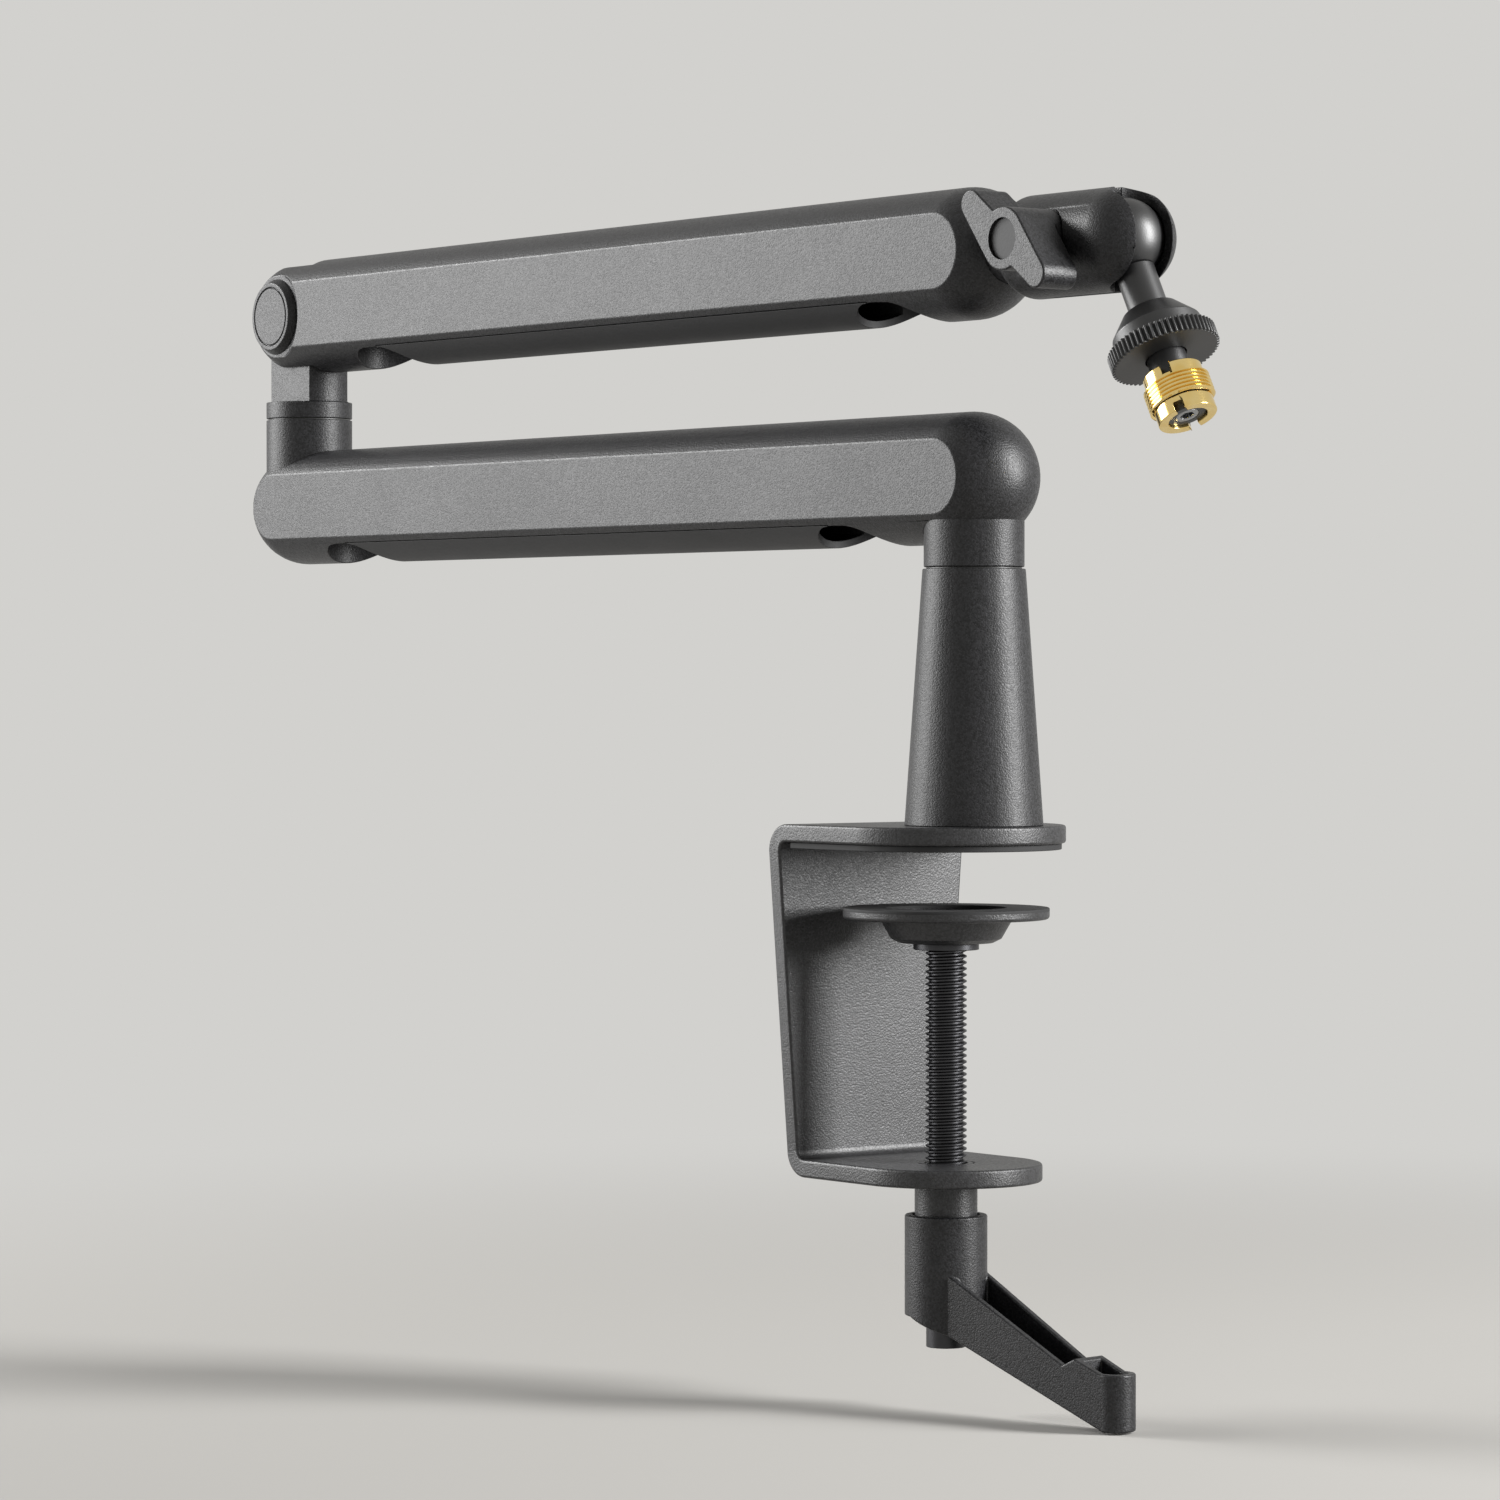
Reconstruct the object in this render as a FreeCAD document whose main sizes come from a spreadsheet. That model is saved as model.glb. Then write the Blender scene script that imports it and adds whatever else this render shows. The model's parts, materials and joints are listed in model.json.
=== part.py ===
"""Low-profile microphone boom arm: desk clamp, riser, two level arms, elbow and ball head.

Frame: origin on the riser's axis at the desk surface (underside of the top jaw's liner), +Z up,
+X from the clamp's back plate towards the jaw tips. Millimetres and degrees.
"""
import FreeCAD, Part
import math
import os
from types import SimpleNamespace

import Sketcher

Vector = FreeCAD.Vector
Rotation = FreeCAD.Rotation

# Driving dimensions: alias, value, what it is
DIMENSIONS = [
    ("liner_t", 1.5, "top jaw liner thickness"),
    ("liner_inset", 1.0, "liner edge inside the jaw edge"),
    ("plate_t", 4.4, "bracket plate thickness"),
    ("jaw_gap", 75.8, "desk surface to the bottom jaw's inner face"),
    ("jaw_r_top", 28.9, "top jaw end radius, half its width"),
    ("jaw_r_low", 23.3, "bottom jaw end radius, half its width"),
    ("bend_r", 6.5, "outer bend radius of the bracket"),
    ("back_x", 43.6, "riser axis to the outer face of the back plate"),
    ("screw_x", 10.5, "riser axis back to the screw axis"),
    ("riser_r_base", 16.7, "riser radius at the jaw"),
    ("riser_r_top", 12.4, "riser radius at the swivel"),
    ("riser_len", 61.6, "riser height"),
    ("riser_bolt_r", 4.0, "riser bolt radius"),
    ("riser_bolt_len", 22.0, "riser bolt length in the riser"),
    ("riser_bolt_head_r", 8.0, "riser bolt countersunk head radius"),
    ("joint_gap", 0.4, "gap at each swivel"),
    ("washer_t", 0.3, "swivel washer thickness"),
    ("washer_inset", 0.6, "swivel washer edge inside the post edge"),
    ("post_r", 12.1, "swivel collar, post and knuckle radius"),
    ("pin_r", 5.0, "swivel pin radius"),
    ("pin_depth", 26.0, "swivel pin length in its bush"),
    ("pin_seat", 11.0, "swivel pin length in the piece that turns"),
    ("bush_wall", 2.5, "swivel bush wall"),
    ("run_gap", 0.05, "radial running clearance of pins and bolts"),
    ("free_gap", 0.3, "clearance round parts that only pass each other"),
    ("edge_ease", 0.5, "rounding of handled and cast edges"),
    ("arm_r", 15.9, "arm radius"),
    ("flat_in", 2.8, "depth of each side flat into the round arm"),
    ("arm_len", 295.4, "arm length between end centres"),
    ("arm_rise", 53.7, "lower arm axis to upper arm axis"),
    ("collar_rise", 21.4, "swivel collar's foot up to the lower arm's axis"),
    ("post_sink", 8.0, "arm axis to the seat of a post inside it"),
    ("channel_wall", 4.6, "side flat in to the cable channel"),
    ("channel_top", 4.0, "cable channel ceiling above the arm axis"),
    ("cover_sag", 5.3, "cover's top edge down to the arm's underside"),
    ("cover_short", 79.0, "arm length less the cover's length"),
    ("cover_low_x", 42.1, "riser axis to the lower cover's near end"),
    ("cover_up_x", 26.8, "arm end centre to the upper cover's near end"),
    ("cover_t", 1.8, "cover wall"),
    ("cover_gap", 0.15, "gap round the cover"),
    ("clip_t", 1.4, "cover clip rib thickness"),
    ("clip_rise", 9.0, "cover clip rib height above the cover's edge"),
    ("cable_wall", 1.6, "side flat in to the cable hole"),
    ("cable_run", 6.0, "cable hole length between its end centres"),
    ("knuckle_t", 4.6, "elbow knuckle disc thickness"),
    ("post_top", 24.8, "lower arm axis to the top of the elbow post"),
    ("tongue_r", 11.9, "elbow tongue radius"),
    ("fork_wall", 3.8, "fork wall between its slot and the round hinge face"),
    ("friction_t", 0.5, "friction washer thickness"),
    ("friction_gap", 0.2, "friction washer to tongue"),
    ("slot_depth", 13.0, "hinge axis to the end of the fork slot"),
    ("cap_t", 2.2, "hinge cap thickness, from the round hinge face to the flat"),
    ("hinge_bolt_r", 4.0, "hinge bolt radius"),
    ("cap_r", 9.4, "hinge cap radius at its face"),
    ("cap_flare", 1.3, "hinge cap radius at its foot beyond its face"),
    ("hinge_seat", 1.3, "round hinge face radius beyond the cap's foot"),
    ("hinge_slope", 1.05, "widening of the round hinge face's wall for its height"),
    ("cap_groove_r", 7.95, "hinge cap ring groove radius"),
    ("groove_w", 0.35, "ring groove width"),
    ("groove_d", 0.4, "ring groove depth"),
    ("neck_r", 8.0, "head neck radius"),
    ("neck_sink", 7.0, "neck length inside the arm end and the head"),
    ("head_start", 20.0, "arm end centre to the back of the head"),
    ("head_r", 12.3, "head radius"),
    ("head_round", 4.0, "rounding of the back of the head"),
    ("ball_x", 54.2, "arm end centre to the ball centre"),
    ("ball_r", 9.6, "ball radius"),
    ("ball_slot", 5.5, "half width of the stem slot, its end radius"),
    ("slot_back", 1.8, "ball centre back to the end of the stem slot"),
    ("slit_half", 0.9, "half width of the clamping slit"),
    ("slit_back", 24.0, "ball centre back to the end of the clamping slit"),
    ("stem_tilt", 28.0, "stem angle from straight down"),
    ("stem_r", 4.65, "stem radius"),
    ("ball_cut", 8.5, "ball centre to the flat under the stem"),
    ("stem_pin_r", 3.0, "stem pin radius inside the ball"),
    ("nut_top", 19.6, "ball centre to the top of the thumb nut"),
    ("nut_cone_r", 6.5, "thumb nut cone top radius"),
    ("nut_cone_len", 5.0, "thumb nut cone length"),
    ("nut_collar_r", 10.65, "thumb nut collar radius"),
    ("nut_collar_len", 3.2, "thumb nut collar length"),
    ("nut_r", 13.0, "thumb nut knurl radius"),
    ("nut_len", 4.0, "thumb nut knurl length"),
    ("nut_tooth", 0.7, "knurl tooth depth"),
    ("nut_teeth", 60, "knurl tooth count"),
    ("adapter_turns", 6, "brass adapter thread turns"),
    ("adapter_gap", 4.2, "thumb nut to brass adapter"),
    ("adapter_ring_r", 7.0, "brass adapter end ring radius"),
    ("adapter_ring_len", 2.9, "brass adapter ring length next to the nut"),
    ("adapter_end_len", 3.46, "brass adapter ring length at the end"),
    ("adapter_slot_w", 2.2, "brass adapter driver slot width"),
    ("adapter_slot_turn", 35.0, "driver slots' turn about the stem"),
    ("thread_r", 7.94, "five eighths thread crest radius"),
    ("thread_pitch", 0.94, "five eighths thread pitch"),
    ("thread_depth", 0.55, "five eighths thread depth"),
    ("stud_back", 0.7, "stem end inside the adapter's end face"),
    ("socket_r", 2.8, "stem end screw radius"),
    ("socket_len", 6.0, "stem end screw length"),
    ("hex_flats", 3.0, "stem end screw hexagon across flats"),
    ("hex_depth", 2.2, "stem end screw hexagon depth"),
    ("knob_x", 39.0, "arm end centre to the wing knob axis"),
    ("knob_face", 24.0, "arm axis to the knob's face"),
    ("knob_wing_t", 10.3, "wing thickness"),
    ("knob_span", 35.8, "wing span tip to tip"),
    ("wing_r", 3.4, "wing tip radius"),
    ("wing_angle", 37.0, "wing angle from level"),
    ("knob_hub_r", 7.4, "knob hub radius"),
    ("knob_recess_r", 4.9, "knob recess radius"),
    ("knob_recess_d", 1.6, "knob recess depth"),
    ("knob_cap_t", 0.8, "knob cap thickness"),
    ("stud_r", 3.0, "clamp stud radius"),
    ("stud_head_r", 5.0, "clamp stud head radius"),
    ("stud_head_t", 3.0, "clamp stud head thickness"),
    ("stud_reach", 19.0, "arm axis to the stud's end inside the knob"),
    ("screw_r", 5.0, "clamp screw thread crest radius"),
    ("screw_depth", 0.92, "clamp screw thread depth"),
    ("screw_pitch", 1.5, "clamp screw pitch"),
    ("screw_bush_r", 7.6, "screw bush radius"),
    ("screw_bush_len", 14.0, "screw bush length below the jaw"),
    ("screw_bush_seat", 1.0, "screw bush step in the jaw"),
    ("pad_top", 14.1, "desk surface down to the pressure pad"),
    ("pad_r", 25.0, "pressure pad radius"),
    ("pad_t", 2.8, "pressure pad rim thickness"),
    ("dish_r", 16.1, "pressure pad dish radius"),
    ("dish_low_r", 11.4, "pressure pad dish bottom radius"),
    ("dish_depth", 5.7, "pressure pad dish depth below the rim"),
    ("dish_wall", 1.7, "pressure pad dish wall"),
    ("dish_bend", 2.0, "pressure pad dish bottom bend"),
    ("pad_rubber_t", 0.8, "pressure pad rubber ring thickness"),
    ("spigot_r", 4.0, "screw spigot radius in the pad"),
    ("pad_play", 0.1, "play of the pad on the screw"),
    ("collar_r", 7.95, "thrust collar radius"),
    ("collar_t", 1.6, "thrust collar thickness"),
    ("retainer_r", 7.0, "pad retainer head radius"),
    ("retainer_t", 2.2, "pad retainer head thickness"),
    ("retainer_shank_r", 2.0, "pad retainer shank radius"),
    ("retainer_shank_len", 8.0, "pad retainer shank length"),
    ("hub_r", 10.0, "lever hub radius"),
    ("hub_drop", 8.1, "bottom jaw underside to the hub's rim"),
    ("hub_len", 24.4, "lever hub length at the back"),
    ("hub_wall", 1.7, "lever hub wall round the bush"),
    ("hub_bore_len", 11.0, "lever hub counterbore depth"),
    ("hub_back", 3.2, "screw axis back to where the underside starts to slope"),
    ("tail_r", 4.5, "screw tail radius in the hub"),
    ("lever_bolt_r", 4.8, "lever bolt head radius"),
    ("lever_bolt_t", 7.7, "lever bolt head length"),
    ("lever_shank_r", 2.5, "lever bolt shank radius"),
    ("lever_shank_len", 12.0, "lever bolt shank length"),
    ("lever_turn", 7.8, "lever direction from +X"),
    ("lever_len", 54.3, "screw axis to the lever's end centre"),
    ("lever_half", 7.4, "half width of the lever at the hub"),
    ("lever_end_r", 4.8, "lever end radius"),
    ("lever_wall", 1.9, "lever wall"),
    ("lever_floor", 3.5, "lever channel floor thickness"),
    ("lever_top_drop", 10.1, "hub rim down to the lever's top at the screw axis"),
    ("lever_top_angle", 27.8, "slope of the lever's top"),
    ("lever_low_angle", 21.6, "slope of the lever's underside"),
    ("notch_back", 12.1, "lever's end centre back to the notch in its walls"),
    ("notch_run", 3.6, "length of the notch's step"),
    ("notch_rise", 1.8, "height of the notch's step"),
    ("lever_tip_flat", 1.0, "level top of the lever before its round end"),
    ("rib_back", 9.3, "lever's end centre back to the cross rib"),
    ("rib_t", 2.0, "cross rib thickness"),
]

doc = FreeCAD.newDocument("boom_arm")
sheet = doc.addObject("Spreadsheet::Sheet", "dims")


class Size:
    """A size known as a number and as the sheet formula that gives it."""

    def __init__(self, text, value):
        self.text = text
        self.value = value

    def __add__(self, other):
        other = as_size(other)
        return Size(f"({self.text} + {other.text})", self.value + other.value)

    def __sub__(self, other):
        other = as_size(other)
        return Size(f"({self.text} - {other.text})", self.value - other.value)

    def __mul__(self, other):
        other = as_size(other)
        return Size(f"({self.text} * {other.text})", self.value * other.value)

    def __truediv__(self, other):
        other = as_size(other)
        return Size(f"({self.text} / {other.text})", self.value / other.value)

    def __neg__(self):
        return Size(f"(0 - {self.text})", -self.value)

    def __rsub__(self, other):
        return as_size(other) - self

    __radd__ = __add__
    __rmul__ = __mul__


def as_size(number):
    return number if isinstance(number, Size) else Size(repr(float(number)), float(number))


def tangent(angle):
    return Size(f"tan({angle.text} * 1 deg)", math.tan(math.radians(angle.value)))


def root(area):
    return Size(f"sqrt({area.text})", math.sqrt(area.value))


def fill_sheet():
    """Write the driving dimensions into the sheet and return them as sizes by name."""
    sizes = {}
    for row, (alias, value, note) in enumerate(DIMENSIONS, start=1):
        sheet.set(f"A{row}", note)
        sheet.set(f"B{row}", str(value))
        sheet.setAlias(f"B{row}", alias)
        sizes[alias] = Size(f"dims.{alias}", float(value))
    doc.recompute()
    return SimpleNamespace(**sizes)


d = fill_sheet()

# Ways to lay a primitive's own axis along a frame axis
ALONG = {
    "z": Rotation(),
    "x": Rotation(Vector(0, 1, 0), 90),
    "y": Rotation(Vector(1, 0, 0), -90),
}
ORIGIN = (0, 0, 0)

# Closest that two places can be and still count as apart
TOUCH = 1e-3


def bind(thing, **sizes):
    for prop, size in sizes.items():
        size = as_size(size)
        setattr(thing, prop, size.value)
        thing.setExpression(prop, size.text)
    return thing


def place(thing, base, rotation=Rotation()):
    """Give a piece its place from three sizes."""
    spots = [as_size(part) for part in base]
    thing.Placement = FreeCAD.Placement(Vector(*[spot.value for spot in spots]), rotation)
    for axis, spot in zip("xyz", spots):
        thing.setExpression(f"Placement.Base.{axis}", spot.text)
    return thing


def named(kind, label):
    thing = doc.addObject(kind, label)
    thing.Label = label
    return thing


def cylinder(label, radius, length, base=ORIGIN, along="z"):
    thing = bind(named("Part::Cylinder", label), Radius=radius, Height=length)
    return place(thing, base, ALONG[along])


def cone(label, low_r, high_r, length, base=ORIGIN, along="z"):
    thing = bind(named("Part::Cone", label), Radius1=low_r, Radius2=high_r, Height=length)
    return place(thing, base, ALONG[along])


def sphere(label, radius, centre):
    return place(bind(named("Part::Sphere", label), Radius=radius), centre)


def dome(label, radius, centre, turn):
    """Half a ball whose top is turned about Y from straight up."""
    thing = bind(named("Part::Sphere", label), Radius=radius)
    thing.Angle1 = 0
    return place(thing, centre, Rotation(Vector(0, 1, 0), turn))


def box(label, low, high):
    """A block between two corners."""
    low = [as_size(part) for part in low]
    high = [as_size(part) for part in high]
    spans = [top - bottom for bottom, top in zip(low, high)]
    thing = bind(named("Part::Box", label), Length=spans[0], Width=spans[1], Height=spans[2])
    return place(thing, low)


def fuse(label, *things):
    thing = named("Part::MultiFuse", label)
    thing.Shapes = list(things)
    thing.Refine = True
    return thing


def cut(label, base, *tools):
    thing = named("Part::Cut", label)
    thing.Base = base
    thing.Tool = tools[0] if len(tools) == 1 else fuse(f"{label}_cuts", *tools)
    thing.Refine = True
    return thing


def common(label, *things):
    thing = named("Part::MultiCommon", label)
    thing.Shapes = list(things)
    thing.Refine = True
    return thing


def ring(label, outer, inner, length, base=ORIGIN, along="z"):
    body = cylinder(f"{label}_disc", outer, length, base, along)
    return cut(label, body, cylinder(f"{label}_hole", inner, length, base, along))


def outline(body, label, plane, points):
    """A closed polygon on one of the body's planes, every corner tied to the sheet."""
    sketch = body.newObject("Sketcher::SketchObject", label)
    support = [part for part in body.Origin.OriginFeatures if part.Role == plane][0]
    sketch.AttachmentSupport = [(support, "")]
    sketch.MapMode = "FlatFace"
    corners = [(as_size(u), as_size(v)) for u, v in points]
    spots = [Vector(u.value, v.value, 0) for u, v in corners]
    count = len(spots)
    for index in range(count):
        sketch.addGeometry(Part.LineSegment(spots[index], spots[(index + 1) % count]), False)
    for index in range(count):
        sketch.addConstraint(Sketcher.Constraint("Coincident", index, 2, (index + 1) % count, 1))
    for index, (u, v) in enumerate(corners):
        for kind, size in (("DistanceX", u), ("DistanceY", v)):
            number = sketch.addConstraint(Sketcher.Constraint(kind, -1, 1, index, 1, size.value))
            sketch.setExpression(f"Constraints[{number}]", size.text)
    return sketch


def turned(label, points):
    """A piece turned about its own Z from an outline of (radius, height) corners."""
    body = named("PartDesign::Body", label)
    sketch = outline(body, f"{label}_outline", "XZ_Plane", points)
    turn = body.newObject("PartDesign::Revolution", f"{label}_turn")
    turn.Profile = sketch
    turn.ReferenceAxis = (sketch, ["V_Axis"])
    turn.Angle = 360
    body.Tip = turn
    return body


def slab(label, plane, points, length, midplane=False):
    """An outline padded to a length, on one side of its plane or half on each side."""
    body = named("PartDesign::Body", label)
    sketch = outline(body, f"{label}_outline", plane, points)
    pad = body.newObject("PartDesign::Pad", f"{label}_pad")
    pad.Profile = sketch
    bind(pad, Length=length)
    if midplane:
        pad.SideType = "Symmetric"
    body.Tip = pad
    return body


def rounded(body, label, radius, chosen):
    """Round the edges of a body's last feature that pass the test."""
    doc.recompute()
    base = body.Tip
    names = [f"Edge{number}" for number, edge in enumerate(base.Shape.Edges, start=1) if chosen(edge)]
    fillet = body.newObject("PartDesign::Fillet", label)
    fillet.Base = (base, names)
    bind(fillet, Radius=radius)
    body.Tip = fillet
    return body


def eased(label, base, wall):
    """Round every edge of a cast form, by less than a third of its thinnest wall."""
    doc.recompute()
    thing = named("Part::Fillet", label)
    thing.Base = base
    radius = min(d.edge_ease.value, wall.value / 3.5)
    thing.Edges = [(number, radius, radius) for number in range(1, len(base.Shape.Edges) + 1)]
    return thing


def solid(label, shape, base=ORIGIN, rotation=Rotation()):
    """A piece whose form is worked out from the sheet's numbers."""
    thing = named("Part::Feature", label)
    thing.Shape = shape
    return place(thing, base, rotation)


def threaded(crest_r, depth, pitch, low, high):
    """A ridged rod: one V ridge for each pitch between two heights, with flat crests."""
    crest = pitch / 8
    corners = [(0, low), (crest_r - depth, low)]
    for turn in range(int((high - low) / pitch + TOUCH)):
        start = low + turn * pitch
        corners.append((crest_r, start + (pitch - crest) / 2))
        corners.append((crest_r, start + (pitch + crest) / 2))
        corners.append((crest_r - depth, start + pitch))
    corners.append((crest_r - depth, high))
    corners.append((0, high))
    points = [Vector(radius, 0, height) for radius, height in corners]
    if points[-2].isEqual(points[-3], TOUCH):
        points.pop(-2)
    face = Part.Face(Part.makePolygon(points + points[:1]))
    return face.revolve(Vector(), Vector(0, 0, 1), 360)


def toothed(radius, depth, teeth, length):
    """A straight-knurled disc standing on its own origin."""
    points = []
    for tooth in range(teeth):
        for share, reach in ((0.0, radius - depth), (0.25, radius), (0.55, radius), (0.8, radius - depth)):
            angle = 2 * math.pi * (tooth + share) / teeth
            points.append(Vector(reach * math.cos(angle), reach * math.sin(angle), 0))
    return Part.Face(Part.makePolygon(points + points[:1])).extrude(Vector(0, 0, length))


# Places that several pieces share
jaw_low = d.liner_t
jaw_top = d.liner_t + d.plate_t
floor_top = -d.jaw_gap
floor_low = floor_top - d.plate_t
screw_axis = -d.screw_x
swivel_z = jaw_top + d.riser_len
collar_z = swivel_z + d.joint_gap
lower_z = collar_z + d.collar_rise
elbow_x = -d.arm_len
elbow_z = lower_z + d.post_top
knuckle_z = elbow_z + d.joint_gap
knuckle_top = knuckle_z + d.knuckle_t
upper_z = lower_z + d.arm_rise
bush_r = d.pin_r + d.run_gap + d.bush_wall
arm_flat = d.arm_r - d.flat_in
channel_half = arm_flat - d.channel_wall
cable_r = arm_flat - d.cable_wall
cover_edge = d.arm_r - d.cover_sag
cover_len = d.arm_len - d.cover_short
hinge_face = arm_flat - d.cap_t
fork_half = hinge_face - d.fork_wall
tongue_half = fork_half - d.friction_gap - d.friction_t
dish_low = -d.pad_top - d.pad_t - d.dish_depth
collar_top = dish_low - d.pad_play
collar_low = collar_top - d.collar_t
hub_top = floor_low - d.hub_drop
hub_low = hub_top - d.hub_len
hub_floor = hub_top - d.hub_bore_len
ball_spot = (d.ball_x, 0, upper_z)
nut_face = d.nut_top + d.nut_cone_len + d.nut_collar_len + d.nut_len
adapter_start = nut_face + d.adapter_gap
thread_low = adapter_start + d.adapter_ring_len
thread_high = thread_low + d.thread_pitch * d.adapter_turns
adapter_end = thread_high + d.adapter_end_len


def clamp_bracket():
    """Bent plate: round-ended jaws and a tapering back plate, bends rounded inside and out."""
    back = -d.back_x
    inner = back + d.plate_t
    tip = screw_axis + d.jaw_r_top
    profile = [
        (back, floor_low), (tip, floor_low), (tip, floor_top), (inner, floor_top),
        (inner, jaw_low), (tip, jaw_low), (tip, jaw_top), (back, jaw_top),
    ]
    bent = slab("bracket_section", "XZ_Plane", profile, d.jaw_r_top * 2 + d.plate_t, midplane=True)

    def at_bend(x):
        return lambda edge: (abs(edge.BoundBox.XMax - x.value) < TOUCH and edge.BoundBox.XLength < TOUCH
                             and edge.BoundBox.ZLength < TOUCH)

    rounded(bent, "outer_bends", d.bend_r, at_bend(back))
    rounded(bent, "inner_bends", d.bend_r - d.plate_t, at_bend(inner))
    plan = []
    for name, radius, low, high in (
        ("top_jaw", d.jaw_r_top, jaw_top - d.bend_r, jaw_top),
        ("low_jaw", d.jaw_r_low, floor_low, floor_low + d.bend_r),
    ):
        plan.append(cylinder(f"{name}_end", radius, high - low, (screw_axis, 0, low)))
        plan.append(box(f"{name}_run", (back, -radius, low), (screw_axis, radius, high)))
    taper = [
        (-d.jaw_r_low, floor_low + d.bend_r), (d.jaw_r_low, floor_low + d.bend_r),
        (d.jaw_r_top, jaw_top - d.bend_r), (-d.jaw_r_top, jaw_top - d.bend_r),
    ]
    wall = slab("back_plate", "YZ_Plane", taper, d.bend_r)
    place(wall, (back, 0, 0))
    blank = common("bracket_blank", bent, fuse("bracket_plan", wall, *plan))
    head = cone("riser_bolt_seat", d.riser_bolt_head_r, d.riser_bolt_r,
                d.riser_bolt_head_r - d.riser_bolt_r, (0, 0, jaw_low))
    hole = cylinder("riser_bolt_hole", d.riser_bolt_r, d.plate_t, (0, 0, jaw_low))
    bush = cylinder("bush_hole", d.screw_bush_r - d.screw_bush_seat, d.plate_t, (screw_axis, 0, floor_low))
    return cut("clamp_bracket", blank, head, hole, bush)


def jaw_liner():
    radius = d.jaw_r_top - d.liner_inset
    start = -d.back_x + d.bend_r + d.liner_inset
    end = cylinder("liner_end", radius, d.liner_t, (screw_axis, 0, 0))
    front = box("liner_front", (screw_axis, -radius, 0), (screw_axis + radius, radius, d.liner_t))
    run = box("liner_run", (start, -radius, 0), (screw_axis, radius, d.liner_t))
    return fuse("jaw_liner", common("liner_tip", end, front), run)


def screw_bush():
    bore = d.screw_r + d.free_gap
    body = turned("screw_bush", [
        (bore, -d.screw_bush_len), (d.screw_bush_r, -d.screw_bush_len), (d.screw_bush_r, 0),
        (d.screw_bush_r - d.screw_bush_seat, 0), (d.screw_bush_r - d.screw_bush_seat, d.plate_t),
        (bore, d.plate_t),
    ])
    return place(body, (screw_axis, 0, floor_low))


def riser():
    """Tapered post with a bush seat at the top, and the bolt that holds it down."""
    shell = cone("riser_shell", d.riser_r_base, d.riser_r_top, d.riser_len, (0, 0, jaw_top))
    seat_len = d.pin_depth + d.joint_gap
    seat = cylinder("riser_seat", bush_r, seat_len, (0, 0, swivel_z - seat_len))
    thread = cylinder("riser_thread", d.riser_bolt_r, d.riser_bolt_len - d.plate_t, (0, 0, jaw_top))
    cut("riser_post", shell, seat, thread)
    shank = cylinder("riser_bolt_shank", d.riser_bolt_r, d.riser_bolt_len, (0, 0, jaw_low))
    head = cone("riser_bolt_head", d.riser_bolt_head_r, d.riser_bolt_r,
                d.riser_bolt_head_r - d.riser_bolt_r, (0, 0, jaw_low))
    fuse("riser_bolt", shank, head)
    return ["riser_post", "riser_bolt"]


def swivel(prefix, x, face_z):
    """Bush and washer below a swivel face, and the pin that turns in them."""
    bore = d.pin_r + d.run_gap
    ring(f"{prefix}_bush", bush_r, bore, d.pin_depth, (x, 0, face_z - d.pin_depth))
    ring(f"{prefix}_washer", d.post_r - d.washer_inset, bore, d.washer_t, (x, 0, face_z))
    low = face_z - d.pin_depth
    cylinder(f"{prefix}_pin", d.pin_r, d.pin_depth + d.joint_gap + d.pin_seat, (x, 0, low))
    return [f"{prefix}_bush", f"{prefix}_washer", f"{prefix}_pin"]


def arm_blank(prefix, z, near_x):
    """Round-ended arm with two side flats, the cable channel and the cover's seat."""
    rod = cylinder(f"{prefix}_rod", d.arm_r, d.arm_len, (elbow_x, 0, z), "x")
    ends = [
        dome(f"{prefix}_end_{side}", d.arm_r, (x, 0, z), turn)
        for side, x, turn in (("far", elbow_x, -90), ("near", 0, 90))
    ]
    reach = d.arm_r + d.free_gap
    flats = box(f"{prefix}_flats", (elbow_x - reach, -arm_flat, z - reach), (reach, arm_flat, z + reach))
    blank = common(f"{prefix}_blank", fuse(f"{prefix}_round", rod, *ends), flats)
    far_x = near_x - cover_len
    seat = box(f"{prefix}_cover_seat", (far_x, -reach, z - reach), (near_x, reach, z - cover_edge))
    channel = box(f"{prefix}_channel", (far_x, -channel_half, z - reach),
                  (near_x, channel_half, z + d.channel_top))
    holes = cable_holes(prefix, z, near_x, d.channel_top)
    return blank, [seat, channel, *holes]


def cable_holes(prefix, z, near_x, top):
    """Oblong holes that run outwards from each end of the cover."""
    low = z - d.arm_r - d.free_gap
    height = z + top - low
    far_x = near_x - cover_len
    holes = []
    for side, first, last in (("far", far_x - d.cable_run, far_x), ("near", near_x, near_x + d.cable_run)):
        for end, x in (("low", first), ("high", last)):
            holes.append(cylinder(f"{prefix}_cable_{side}_{end}", cable_r, height, (x, 0, low)))
        holes.append(box(f"{prefix}_cable_{side}_run", (first, -cable_r, low), (last, cable_r, z + top)))
    return holes


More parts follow.
